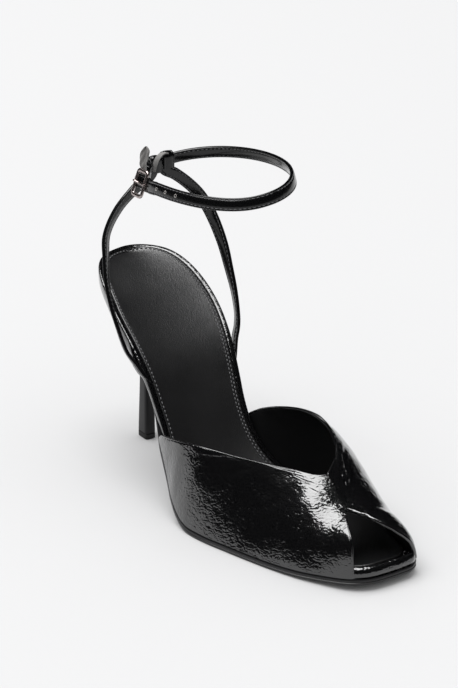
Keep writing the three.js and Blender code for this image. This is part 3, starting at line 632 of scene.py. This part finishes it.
def outer_across(x, rise, fullness, width):
    """The outer side stands straight and leans in, through the same top line as its fullness gives."""
    throat = (throat_height(x) * instep_height - vamp_foot(x)) / (crest_height(x) - vamp_foot(x))
    front = smooth_step(15, 45, x)
    matched = np.clip(throat, 0.02, 0.97) * (1 - front) + 0.9 * front
    lean = outer_lean * smooth_step(-44, 0, x) * (1 - smooth_step(22, 48, x))
    target = np.clip((1 - matched ** 2.5) ** (fullness / 2) - lean / width, 0.05, 0.9995)
    power = 1.15 + 0.1 * front
    exponent = np.log(target) / np.log(1 - matched ** power)
    return np.maximum(1 - rise ** power, 0) ** exponent


def last_point(side, x, climb):
    foot_x, foot_y = foot_point(side, x)
    angle = climb * math.pi / 2
    fullness = (outer_fullness if side < 0 else inner_fullness)(x)
    across = np.maximum(np.cos(angle), 0) ** fullness
    rise = np.sin(angle) ** section_roundness
    ridge = ridge_share(x) * ball_width
    if side < 0:
        across = outer_across(x, rise, fullness, ridge - foot_y)
    return np.stack([x + (foot_x - x) * across, ridge + (foot_y - ridge) * across,
                     vamp_foot(x) + (crest_height(x) - vamp_foot(x)) * rise], axis=-1)


def edge_places(rows, count):
    points = spaced([(a * shoe_length, h * instep_height) for a, h in rows], count)
    share = (points[:, 1] - vamp_foot(points[:, 0])) / (crest_height(points[:, 0]) - vamp_foot(points[:, 0]))
    climb = np.arcsin(np.clip(share, 0, 1) ** (1 / section_roundness)) / (math.pi / 2)
    climb[0], climb[-1] = 0, 1
    return points[:, 0], climb


def even_edges(grid, rows=25):
    """The throat and front edges of a panel made even, blended into the panel between them."""
    from_edge = np.arange(grid.shape[1])
    for edge, distance, reach in ((grid[:, 0], from_edge, 6), (grid[:, -1], from_edge[::-1], 11)):
        before, after = 2 * edge[0] - edge[reach:0:-1], 2 * edge[-1] - edge[-2:-reach - 2:-1]
        padded = np.concatenate([before, edge, after])
        even = np.array([padded[i:i + 2 * reach + 1].mean(axis=0) for i in range(len(edge))])
        blend = 1 - smooth_step(0, rows, distance)
        grid = grid + (even - edge)[:, None, :] * blend[None, :, None]
    return grid


def panel_grid(side, throat, peep):
    """Points of one side between its throat and front edges, and the way into the wall at each."""
    rear_x, rear_climb = edge_places(throat, vamp_columns)
    front_x, front_climb = edge_places(peep, vamp_columns)
    share = (np.arange(vamp_rows + 1) / vamp_rows)[None, :]
    x = rear_x[:, None] * (1 - share) + front_x[:, None] * share
    climb = rear_climb[:, None] * (1 - share) + front_climb[:, None] * share
    up = last_point(side, x, np.clip(climb + 0.006, 0, 1)) - last_point(side, x, np.clip(climb - 0.006, 0, 1))
    fore = last_point(side, x + 0.4, climb) - last_point(side, x - 0.4, climb)
    inward = np.cross(up, fore) * -side
    return last_point(side, x, climb), unit(inward)


# The main creases, listed one by one: where each starts and ends, as shares from sole to ridge and from
# throat to toe, its half width and its depth in millimetres.
OUTER_CREASES = [
    (0.98, 0.86, 0.82, 0.78, 1.3, 0.16), (0.97, 0.72, 0.84, 0.62, 1.4, 0.16),
    (0.95, 0.5, 0.8, 0.42, 1.5, 0.15), (0.96, 0.95, 0.78, 0.93, 1.3, 0.14),
    (0.92, 0.26, 0.76, 0.3, 1.6, 0.16), (0.86, 0.1, 0.7, 0.18, 1.8, 0.15), (0.3, 0.1, 0.5, 0.16, 2.0, 0.14),
    (0.22, 0.25, 0.42, 0.3, 2.0, 0.12), (0.2, 0.5, 0.34, 0.56, 1.8, 0.12), (0.2, 0.75, 0.4, 0.8, 1.6, 0.12),
]
INNER_CREASES = [
    (0.98, 0.88, 0.74, 0.84, 1.4, 0.16), (0.97, 0.7, 0.72, 0.64, 1.6, 0.18),
    (0.96, 0.5, 0.7, 0.46, 1.7, 0.16), (0.93, 0.3, 0.68, 0.32, 1.8, 0.15),
    (0.6, 0.72, 0.36, 0.7, 1.8, 0.16), (0.6, 0.45, 0.36, 0.4, 2.0, 0.16), (0.5, 0.2, 0.3, 0.22, 2.0, 0.14),
]


def crease_depth(grid, creases):
    """How far each point of a panel sinks under the creases: soft troughs with raised lips."""
    columns, rows = grid.shape[:2]
    up, fore = np.meshgrid(np.linspace(0, 1, columns), np.linspace(0, 1, rows), indexing="ij")
    height = run_along(grid[:, rows // 2])[-1]
    length = run_along(grid[columns // 2])[-1]
    depth = np.zeros((columns, rows))
    for a_up, a_fore, b_up, b_fore, half, deep in creases:
        start = np.array([a_up * height, a_fore * length])
        span = np.array([b_up * height, b_fore * length]) - start
        px, py = up * height - start[0], fore * length - start[1]
        share = np.clip((px * span[0] + py * span[1]) / (span @ span), 0, 1)
        bend = 1.2 * np.sin(share * 5)
        off = np.hypot(px - span[0] * share, py - span[1] * share - bend) / half
        fade = np.sin(np.pi * np.clip(share * 0.85 + 0.12, 0, 1)) ** 0.7
        depth += deep * fade * (np.exp(-off * off) - 0.45 * np.exp(-((off - 1.7) ** 2)))
    return depth


def wavy(grid, amount, size):
    """Slow unevenness of leather pulled over a last."""
    values = [noise.noise(Vector(p) / size) for p in grid.reshape(-1, 3)]
    return np.array(values).reshape(grid.shape[:2]) * amount


def border(grid):
    """The points round a grid, in order and back to the first."""
    return np.concatenate([grid[0, :-1], grid[:-1, -1], grid[-1, :0:-1], grid[::-1, 0]])


def panel(name, grid, normal, creases):
    """A closed shell behind a grid of points: patent outside, lining inside, with turned edges."""
    columns, rows = grid.shape[:2]
    up = np.linspace(0, 1, columns)[:, None]
    fore = np.linspace(0, 1, rows)
    fade = smooth_step(0, 0.05, up) * smooth_step(0, 0.08, 1 - up)
    fade = fade * smooth_step(0, 0.06, fore) * smooth_step(0, 0.07, 1 - fore)
    sink = crease_depth(grid, creases) + wavy(grid, 0.2, 9.0) + wavy(grid, 0.05, 3.5)
    from_edge = np.minimum(np.arange(rows), np.arange(rows)[::-1])
    turn = edge_turn * np.where(from_edge < 2, (1 - from_edge / 2) ** 2, 0)
    outside = grid + normal * (sink * fade + turn)[..., None]
    inside = grid + normal * (upper_wall - 0.8 * turn)[:, None]
    rim = np.stack([border(outside), border(inside)])
    return patched(name, [outside, inside, rim], [vamp_finish, lining_finish], kinds=[0, 1, 0], sharp=50)


vamp_finish = crinkled_patent("crinkled patent", 1.15, 0.155)
lining_finish = satin_leather("vamp lining", (0.003, 0.003, 0.0033), 0.6, 0.6, 0.4)
outer_grid, outer_inward = panel_grid(-1, OUTER_THROAT, OUTER_PEEP)
inner_grid, inner_inward = panel_grid(1, INNER_THROAT, INNER_PEEP)
inner_grid = even_edges(inner_grid)
outer_panel = panel("vamp_outer_panel", outer_grid, outer_inward, OUTER_CREASES)
inner_panel = panel("vamp_inner_panel", inner_grid, inner_inward, INNER_CREASES)
finish(outer_panel, "patent", "vamp")
finish(inner_panel, "patent")


# Top lines: the patent is turned over the lining along the throat and the peep. It makes a thin bead on the
# outer side and a puffy roll on the inner side.
roll_radii = {"outer": (0.5, 0.5), "inner": (0.8, 1.1)}


def path_frames(path, widths):
    """Width and face directions along a path; widths point across a strap."""
    tangent = unit(np.gradient(path, axis=0))
    width = unit(widths - tangent * np.sum(widths * tangent, axis=1, keepdims=True))
    return width, np.cross(width, tangent)


def swept(name, path, width, face, profile, materials, closed=False, sharp=None):
    """A profile of (across, out) points carried along a path, closed at its ends."""
    if closed:
        path, width, face = (np.concatenate([line, line[:1]]) for line in (path, width, face))
    across, out = np.array([*profile, profile[0]]).T
    points = path[:, None] + width[:, None] * across[:, None] + face[:, None] * out[:, None]
    uvs = np.stack(np.broadcast_arrays(run_along(path)[:, None], across), axis=-1)
    return patched(name, [points], materials, uvs=uvs, sharp=sharp)


def tube(name, path, radius, materials, closed=False, sides=10):
    """A round bead along a path."""
    width, face = path_frames(path, np.tile([0.12, 0.05, 1.0], (len(path), 1)))
    turns = np.linspace(0, 2 * math.pi, sides + 1)[:-1]
    profile = [(radius * math.cos(a), radius * math.sin(a)) for a in turns]
    return swept(name, path, width, face, profile, materials, closed=closed)


def smooth_patent(name, grain=0.12, gloss=1.5, coat=1.0):
    """Black patent leather, nearly smooth, with a faint ripple."""
    material, tree, shader = new_material(name, Base_Color=patent_black, Roughness=0.22, IOR=gloss,
                                          Coat_Weight=coat, Coat_IOR=gloss, Coat_Roughness=0.06)
    surface = node(tree, "UVMap", uv_map="surface")
    place = node(tree, "Mapping", Vector=surface.outputs["UV"], Scale=(0.5, 0.5, 1))
    ripple = node(tree, "TexNoise", Vector=place.outputs["Vector"], Scale=1.0, Detail=3.0, Roughness=0.55)
    bumped(tree, shader, ripple.outputs["Fac"], 0.0002, grain, patent_faces)
    return material


edge_patent = smooth_patent("edge patent")
for name, grid, inward in (("outer", outer_grid, outer_inward), ("inner", inner_grid, inner_inward)):
    for part, column, next_column, radius in zip(("throat", "peep"), (0, -1), (12, -13), roll_radii[name]):
        edge, into_wall = grid[:, column], inward[:, column]
        away = unit(np.cross(np.gradient(edge, axis=0), into_wall))
        away *= np.sign(np.sum(away * (grid[:, next_column] - edge)))
        line = edge + into_wall * max(0.45 * upper_wall, radius - 0.15) + away * (radius - 0.3)
        cover = vamp_finish if radius > 1 else edge_patent
        bead = tube(f"{part}_bead_{name}", even_steps(line[1:], 160), radius, [cover], sides=14)
        finish(bead, "patent")


# Toe binding: the rolled edge of crinkled patent that closes the front between the panels, puckered where
# it bends, with its ends tucked behind them.
toe_steps = 90
outer_start = OUTER_PEEP[0][0] * shoe_length - 1.6
inner_start = INNER_PEEP[0][0] * shoe_length + clearance
fine_outer = spaced(plan(OUTER_SIDE), 400)
fine_inner = spaced(plan(INNER_SIDE), 400)
toe_front = np.concatenate([fine_outer[fine_outer[:, 0] > outer_start],
                            fine_inner[fine_inner[:, 0] > inner_start][::-1][1:]])
toe_line = even_steps(toe_front, toe_steps)
toe_normal = unit(np.gradient(toe_line, axis=0) @ np.array([[0, -1], [1, 0]]))
toe_profile = [
    (-0.65, 0, 0), (-0.03, 0, 1), (0.01, 0.2, 1), (0.02, 0.42, 1), (0, 0.62, 1), (-0.05, 0.8, 1),
    (-0.13, 0.96, 1), (-0.24, 1.08, 1), (-0.36, 1.15, 1), (-0.48, 1.15, 1), (-0.59, 1.08, 1),
    (-0.65, 0.94, 1), (-0.65, 0.5, 0),
]
toe_sections = []
for i, (place, outward) in enumerate(zip(toe_line, toe_normal)):
    ends = min(i, toe_steps - i) / toe_steps
    opened = float(smooth_step(0, 0.03, ends))
    face = (upper_wall + clearance - sole_margin) * opened - clearance * (1 - opened)
    section = []
    for out, up, from_face in toe_profile:
        reach = face * from_face + out * toe_binding_depth
        spot = place + outward * reach
        height = vamp_foot(place[0]) + up * edge_depth(place[0])
        pucker = 0.12 * noise.noise(Vector((i * 0.42, up * 2, 7))) if up > 0.6 else 0
        section.append((spot[0], spot[1], height + pucker * from_face))
    toe_sections.append(section)
toe_points = np.array(toe_sections)
toe_points = np.concatenate([toe_points, toe_points[:, :1]], axis=1)
toe_binding = patched("toe_roll", [toe_points], [crinkled_patent("toe patent", 1.2, 0.2)])
finish(toe_binding, "patent", "toe_binding")


# Heel: a slim moulded stem with flat faces and crisp edges that flares into the seat, on a rubber tip.
HEEL_STEM = [
    (0.13, 0.45, 0.45, 0.5, 0.002), (0.32, 0.36, 0.4, 0.485, 0.006), (0.5, 0.36, 0.48, 0.52, 0.012),
    (0.6, 0.45, 0.64, 0.64, 0.018), (0.655, 0.62, 0.82, 0.85, 0.024), (0.7, 0.84, 1.05, 1.15, 0.03),
    (0.745, 1.22, 1.38, 1.7, 0.034),
]
tip_thickness = 3.0
seat_lip = 0.8
heel_steps = 28
squareness = 0.36


def heel_ring(back, front, half, lean, height):
    """A rounded rectangle round the heel's middle, at height(x)."""
    angle = np.arange(2 * heel_steps) * math.pi / heel_steps
    c, s = np.cos(angle), np.sin(angle)
    x = heel_middle - np.sign(c) * abs(c) ** squareness * np.where(c > 0, back, front) * heel_base_length
    y = lean * ball_width - np.sign(s) * abs(s) ** squareness * half * heel_base_width
    return np.column_stack([x, y, height(x) + 0 * x])


def seat(x):
    return footbed_base(x) - gap(x)


def under_seat(level, drop):
    return lambda x: np.minimum(level, seat(x) - drop)


stem_start = tip_thickness + clearance
stem_rows = [(stem_start / heel_height, 0.5, 0.5, 0.5, 0.0)] + HEEL_STEM
stem_curve = smooth_curve(stem_rows)
stem_dense = np.array([stem_curve(t) for t in np.linspace(0, 1, 400)])
heel_rings = []
for level in np.linspace(stem_rows[0][0], stem_rows[-1][0], 40):
    values = [np.interp(level, stem_dense[:, 0], stem_dense[:, k]) for k in range(1, 5)]
    heel_rings.append(heel_ring(*values, under_seat(level * heel_height, 3.7 * seat_lip)))
last_row = np.array(HEEL_STEM[-1][1:])
for share, level, drop in ((0.25, 0.76, 3.2), (0.5, 0.79, 2.2), (0.78, 0.82, 1.5)):
    values = last_row + (np.array(heel_seat) - last_row) * share
    heel_rings.append(heel_ring(*values, under_seat(level * heel_height, drop * seat_lip)))
heel_rings.append(heel_ring(*heel_seat, lambda x: seat(x) - seat_lip))
heel_rings.append(heel_ring(*heel_seat, seat))
heel_finish = plain_finish("heel cover", (0.003, 0.003, 0.0035), 0.3, ripple=45, specular=0.32)
heel = stacked("heel_stem", heel_rings, 6, lambda x, share: stem_start, lambda x, share: seat(x),
               [heel_finish], sharp=38)
finish(heel, "heel_cover", "heel")

tip_rings = []
for inset, height in ((0.06, 0.0), (0.0, 0.35), (0.0, tip_thickness - 0.2), (0.04, tip_thickness)):
    tip_rings.append(heel_ring(0.5 - inset, 0.5 - inset, 0.5 - inset, 0.0, lambda x: height))
tip_finish = plain_finish("heel tip rubber", (0.006, 0.006, 0.006), 0.55, specular=0.3)
tip = stacked("heel_tip", tip_rings, 4, lambda x, share: 0.0, lambda x, share: tip_thickness, [tip_finish],
              sharp=38)
finish(tip, "rubber", "top_piece")


# Straps: smooth patent, edges painted, a row of stitches along each edge. The slings rise from the sole's
# edge, narrow way on, and hook forward over the ankle strap behind the ankle.
strap_width = 6.0
strap_thickness = 1.9
loop_height = 152.6
stitch_inset = 0.95
OUTER_SLING = [
    (-0.298, -0.3, 0.352, 0), (-0.31, -0.334, 0.373, 0), (-0.33, -0.356, 0.404, -6),
    (-0.353, -0.375, 0.436, -14), (-0.379, -0.394, 0.511, -24), (-0.402, -0.396, 0.573, -33),
    (-0.426, -0.385, 0.64, -40), (-0.449, -0.354, 0.706, -46), (-0.4685, -0.315, 0.769, -56),
    (-0.476, -0.227, 0.838, -70), (-0.474, -0.11, 0.897, -84), (-0.473, 0.005, 0.938, -90),
]
INNER_SLING = [
    (-0.299, 0.275, 0.33, -18), (-0.315, 0.31, 0.365, -18), (-0.333, 0.35, 0.402, -20),
    (-0.348, 0.391, 0.437, -20), (-0.361, 0.414, 0.469, -18), (-0.382, 0.429, 0.534, -10),
    (-0.407, 0.434, 0.603, 4), (-0.429, 0.431, 0.672, 20), (-0.4505, 0.413, 0.738, 36),
    (-0.466, 0.388, 0.787, 50), (-0.474, 0.345, 0.832, 64), (-0.475, 0.27, 0.877, 78),
    (-0.474, 0.17, 0.922, 88), (-0.473, 0.09, 0.95, 90),
]
loop_middle = np.array([-0.26 * shoe_length, 0.098 * ball_width, loop_height])
loop_length, loop_width = 88.0, 57.0
loop_turn = 0.1
loop_rise = (0.06, 0.18)
loop_tilt = math.radians(17)


def loop_lift(angle):
    """The strap stands higher where it leaves the buckle."""
    turn = angle / math.pi % 2
    return 3.9 * float(smooth_step(1.22, 1.46, turn) * (1 - smooth_step(1.46, 1.9, turn)))


def loop_point(angle):
    a = math.cos(angle) * loop_length / 2
    b = math.sin(angle) * loop_width / 2
    x, y = rotated(a, b, loop_turn)
    return loop_middle + np.array([x, y, x * loop_rise[0] + y * loop_rise[1] + loop_lift(angle)])


def loop_frame(angle):
    step = 0.01
    tangent = unit(loop_point(angle + step) - loop_point(angle - step))
    outward = unit(np.array([tangent[1], -tangent[0], 0]))
    upward, outward = rotated(np.cross(outward, tangent), outward, loop_tilt)
    return tangent, outward, upward


def sling_path(rows, steps):
    """The middle line of a sling strap up to the end of its hook, and the way its width points."""
    last = rows[-1]
    back = loop_point(math.pi)
    over = strap_width / 2 + 0.34 * strap_thickness
    away = 0.92 * strap_thickness
    side = last[1] * ball_width
    rise = loop_rise[1] * (side - back[1])
    hook = [(-away, 0), (-0.75 * away, 0.86 * over), (0, over), (0.75 * away, 0.86 * over), (away, 0),
            (away, -over)]
    points = [(a * shoe_length, s * ball_width, u * loop_height) for a, s, u, _ in rows]
    points += [(back[0] + f, side, back[2] + rise + u) for f, u in hook]
    turns = [math.radians(row[3]) for row in rows] + [math.radians(last[3])] * len(hook)
    at = smooth_curve(points)
    shares = np.linspace(0, 1, 900)
    dense = np.array([at(t) for t in shares])
    turn = np.interp(shares * (len(turns) - 1), range(len(turns)), turns)
    both = even_steps(np.column_stack([dense, turn * 0.001]), steps)
    path, turn = both[:, :3], both[:, 3] * 1000
    return path, np.column_stack([np.cos(turn), np.sin(turn), np.zeros(len(turn))])


half_width = strap_width / 2
half_thick = strap_thickness / 2

# The strap's section from its edge to its middle: a raised edge, a groove for the stitches and a crown.
strap_face = [(half_width, 0), (half_width - 0.06, half_thick - 0.42), (half_width - 0.28, half_thick - 0.12),
              (half_width - 0.6, half_thick - 0.08), (half_width - 0.95, half_thick - 0.24),
              (half_width - 1.3, half_thick - 0.04), (half_width * 0.35, half_thick + 0.08)]
strap_face = strap_face + [(0, half_thick + 0.1)] + [(-a, o) for a, o in strap_face[:0:-1]]
strap_profile = strap_face + [(-a, -o) for a, o in strap_face]
strap_finish = smooth_patent("strap patent", grain=0.3, gloss=1.33, coat=0.6)


def edge_lines(path, width, face):
    """Stitch lines along both edges of a strap, on both of its faces."""
    inset, out = half_width - stitch_inset, half_thick - 0.2
    return [(path + width * edge * inset + face * side * out, face * side)
            for side in (1, -1) for edge in (-1, 1)]


sling_pieces = []
strap_lines = []
for name, rows in (("outer", OUTER_SLING), ("inner", INNER_SLING)):
    path, widths = sling_path(rows, 150)
    width, face = path_frames(path, widths)
    sling_pieces.append(swept(f"sling_{name}", path, width, face, strap_profile, [strap_finish], sharp=50))
    strap_lines += edge_lines(path[9:-8], width[9:-8], face[9:-8])

loop_angles = np.linspace(0, 2 * math.pi, 241)
loop_path = np.array([loop_point(a) for a in loop_angles])
_, loop_out, loop_up = (np.array(line) for line in zip(*(loop_frame(a) for a in loop_angles)))
ankle = swept("ankle_strap", loop_path[:-1], loop_up[:-1], loop_out[:-1], strap_profile, [strap_finish],
              closed=True, sharp=50)
strap_lines += edge_lines(loop_path, loop_up, loop_out)
strap_stitch = stitches("strap_stitches", strap_lines, 2.2, 1.6, 0.17)
finish(ankle, "strap_patent", "straps")
for piece in sling_pieces + [strap_stitch]:
    finish(piece, "strap_patent")


# Punched holes: three in the ankle strap beside the buckle, for the prong. Each is a pale grey rim round a
# black disc laid on the strap, painted shade that stands in for the hole.
hole_turns = (1.44, 1.493, 1.546)
hole_edge = plain_finish("punched edge", (0.2, 0.19, 0.18), 0.6)
# Black with no gloss: painted shade for the inside of a hole.
painted_shade_black = plain_finish("punched hole painted shade", (0.0015, 0.0015, 0.0015), 0.9, specular=0.0)
circle = np.array([(math.cos(a), math.sin(a)) for a in np.linspace(0, 2 * math.pi, 25)])
for number, turn in enumerate(hole_turns):
    middle = loop_point(turn * math.pi)
    tangent, outward, upward = loop_frame(turn * math.pi)
    around = circle @ np.array([tangent, upward])
    rim_line = middle + 0.7 * around[:-1] + outward * (half_thick + 0.05)
    rim_piece = tube(f"hole_rim_{number}", rim_line, 0.14, [hole_edge], closed=True)
    # A flat black cone on the strap's face, with no hole cut under it: painted shade where the hole is dark.
    shade_disc_edge = middle + 0.66 * around + outward * (half_thick + 0.06)
    shade_disc_peak = np.tile(middle + outward * (half_thick + 0.12), (25, 1))
    shade_disc_piece = patched(f"hole_shade_disc_{number}", [np.stack([shade_disc_edge, shade_disc_peak])], [painted_shade_black],
                         filled=False)
    finish(rim_piece, "strap_patent")
    finish(shade_disc_piece, "strap_patent")


# Buckle: a polished gunmetal frame on the outer side, turned a little to the front, with its prong across it.
buckle_angle = 1.305 * math.pi
buckle_width, buckle_height = 9.0, 13.7
buckle_bar, buckle_depth = 1.9, 1.2
buckle_corner = 1.5
buckle_yaw, buckle_roll = math.radians(26), math.radians(5)
prong_thickness = 1.0
gunmetal = plain_finish("gunmetal", (0.4, 0.35, 0.34), 0.26, metallic=1.0, ripple=300, strength=0.03)

tangent, outward, upward = loop_frame(buckle_angle)
buckle_middle = loop_point(buckle_angle) + outward * 2.9 + tangent * 2.6 + upward * 0.5
turned, buckle_out = rotated(tangent, outward, buckle_yaw)
buckle_along, buckle_up = rotated(turned, upward, buckle_roll)


def on_buckle(along, out, up):
    return buckle_middle + buckle_along * along + buckle_out * out + buckle_up * up


def rounded_frame(half_x, half_y, corner, steps):
    """Points round a rectangle with rounded corners."""
    points = []
    for side_x, side_y, start in ((1, 1, 0), (-1, 1, 90), (-1, -1, 180), (1, -1, 270)):
        for turn in np.radians(np.linspace(start, start + 90, steps)):
            points.append((side_x * (half_x - corner) + corner * math.cos(turn),
                           side_y * (half_y - corner) + corner * math.sin(turn)))
    return points


def square_to(line, fixed):
    """Unit directions square to a closed line and to a fixed direction."""
    return unit(np.cross(steps_round(line), fixed))


half_bar, half_depth = buckle_bar / 2, buckle_depth / 2
frame_path = rounded_frame(buckle_width / 2 - half_bar, buckle_height / 2 - half_bar, buckle_corner, 9)
frame_line = np.array([on_buckle(x, 0, y) for x, y in frame_path])
frame_normal = np.tile(buckle_out, (len(frame_line), 1))
bar_profile = [
    (0.3 - half_bar, -half_depth), (half_bar - 0.3, -half_depth), (half_bar, 0.3 - half_depth),
    (half_bar, half_depth - 0.4), (half_bar - 0.35, half_depth - 0.08), (0, half_depth + 0.06),
    (0.35 - half_bar, half_depth - 0.08), (-half_bar, half_depth - 0.4), (-half_bar, 0.3 - half_depth),
]
buckle = swept("buckle_bars", frame_line, square_to(frame_line, frame_normal), frame_normal, bar_profile,
               [gunmetal], closed=True, sharp=40)
finish(buckle, "gunmetal", "buckle_frame")

reach = buckle_width / 2
prong_places = [
    (0.95 - reach, 0.3, 0.2), (0.6 - reach, 1.0, 0.2), (1.2 - reach, 1.25, 0.2), (0, 0.75, 0),
    (0.55 * reach, 0.95, 0), (1.02 * reach, 1.2, 0),
]
prong_line = spaced([on_buckle(*place) for place in prong_places], 30)
prong = tube("prong_pin", prong_line, prong_thickness / 2, [gunmetal], sides=12)
finish(prong, "gunmetal", "buckle_prong")


# Strap end: it runs on behind the frame to its outer bar, and its soft tip stands up behind the buckle,
# twisted, with a rounded point. Its pale grey front is a painted reflection.
END_PLACES = [(2.6, -1.5, 1.0), (0, -1.3, 0.8), (-2.6, -1.2, 0.6), (-4.3, -0.9, 0.6), (-5.1, -1.6, 0.6)]
# Height over the strap, half width, shift along, turn in degrees, lean outward.
TAIL_ROWS = [
    (4.0, 2.1, -2.2, 12, -1.6), (6.6, 2.1, -2.2, 24, -1.0), (9.0, 2.2, -2.3, 40, -0.1),
    (12.0, 2.3, -2.0, 50, 0.3), (14.2, 2.15, -1.8, 54, 0.5), (15.8, 1.7, -1.5, 56, 0.6),
    (16.8, 1.05, -1.6, 56, 0.7), (17.4, 0.3, -1.9, 56, 0.7),
]
tail_thickness = 1.1
tail_steps, tail_columns = 60, 14
# Pale grey satin colour: a painted reflection, used on the strap's tip and on the knot strip.
painted_reflection_grey = satin_leather("strap painted reflection", (0.11, 0.107, 0.104), 0.75, 0.22, 1.0)
end_points = [loop_point(turn * math.pi) for turn in (1.42, 1.385)]
end_line = spaced(end_points + [on_buckle(*place) for place in END_PLACES], 50)
end_width, end_face = path_frames(end_line, np.tile(upward, (len(end_line), 1)))
end_face = end_face * np.sign(np.sum(end_face[25] * buckle_out))
strap_end = swept("strap_end", end_line, end_width * 1.06, end_face, strap_profile, [strap_finish], sharp=50)
finish(strap_end, "strap_patent")

tail_curve = smooth_curve(TAIL_ROWS)
tail_sections = []
for i in range(tail_steps + 1):
    up, half, shift, turn, lean = tail_curve(i / tail_steps)
    across, facing = rotated(turned, buckle_out, math.radians(turn) - buckle_yaw)
    middle = buckle_middle + upward * up + turned * shift + buckle_out * (lean - 0.9)
    section = []
    for layer in (1, -1):
        for v in np.linspace(-layer, layer, tail_columns + 1):
            fold = 0.5 * math.sin(v * 4.2 + up * 0.35) + 0.3 * math.sin(v * 8 - up * 0.7) + 0.3 * v * v
            thick = 0.5 * tail_thickness * math.sqrt(max(0.0, 1 - abs(v) ** 6))
            section.append(middle + across * v * max(half, 0.2) + facing * (fold + layer * thick))
    tail_sections.append(section + section[:1])
tail = patched("strap_tail", [np.array(tail_sections)], [painted_reflection_grey])
finish(tail, "strap_patent")


# Knot: where a sling folds over the ankle strap, a pale grey strip lies along the fold: a painted reflection.
knot_side = np.array([0.543, 0.84, 0.0])
knot_front = np.array([0.84, -0.543, 0.0])
knot_middle = loop_point(math.pi)
# Places along the strip: to the side, to the front and up.
KNOT_STRIP = [
    (-3.2, 6.0, -2.4), (-2.2, 6.2, 1.0), (-1.2, 6.0, 3.5), (0.2, 5.0, 5.2), (1.8, 3.2, 5.7), (3.3, 1.2, 5.0),
]
strip_places = [knot_middle + knot_side * a + knot_front * f + np.array([0, 0, u]) for a, f, u in KNOT_STRIP]
strip_line = spaced(strip_places, 40)
strip_across = np.tile(knot_side + knot_front * 0.35, (len(strip_line), 1))
strip_width, strip_face = path_frames(strip_line, strip_across)
strip_profile = [(1.25, 0), (1.15, 0.3), (0.5, 0.42), (-0.5, 0.42), (-1.15, 0.3), (-1.25, 0), (-1.15, -0.3),
                 (1.15, -0.3)]
strip = swept("knot_painted_reflection", strip_line, strip_width, strip_face, strip_profile, [painted_reflection_grey], sharp=60)
finish(strip, "strap_patent")


# Keeper: a narrow band of patent round the ankle strap, between the buckle and the knot.
keeper_angle = 1.125 * math.pi
keeper_width, keeper_wall = 4.0, 0.9
keeper_corner = 0.7
kt, kb = keeper_wall / 2, keeper_width / 2
keeper_path = rounded_frame(half_thick + 1.5 * clearance + kt, half_width + clearance + kt, keeper_corner, 7)
tangent, outward, upward = loop_frame(keeper_angle)
keeper_line = np.array([loop_point(keeper_angle) + outward * out + upward * up for out, up in keeper_path])
keeper_across = np.tile(tangent, (len(keeper_line), 1))
keeper_profile = [(-kb, -kt), (kb, -kt), (kb, kt - 0.2), (kb - 0.3, kt), (0.3 - kb, kt), (-kb, kt - 0.2)]
keeper = swept("strap_keeper", keeper_line, keeper_across, -square_to(keeper_line, keeper_across),
               keeper_profile, [strap_finish], closed=True, sharp=40)
finish(keeper, "strap_patent", "keeper")
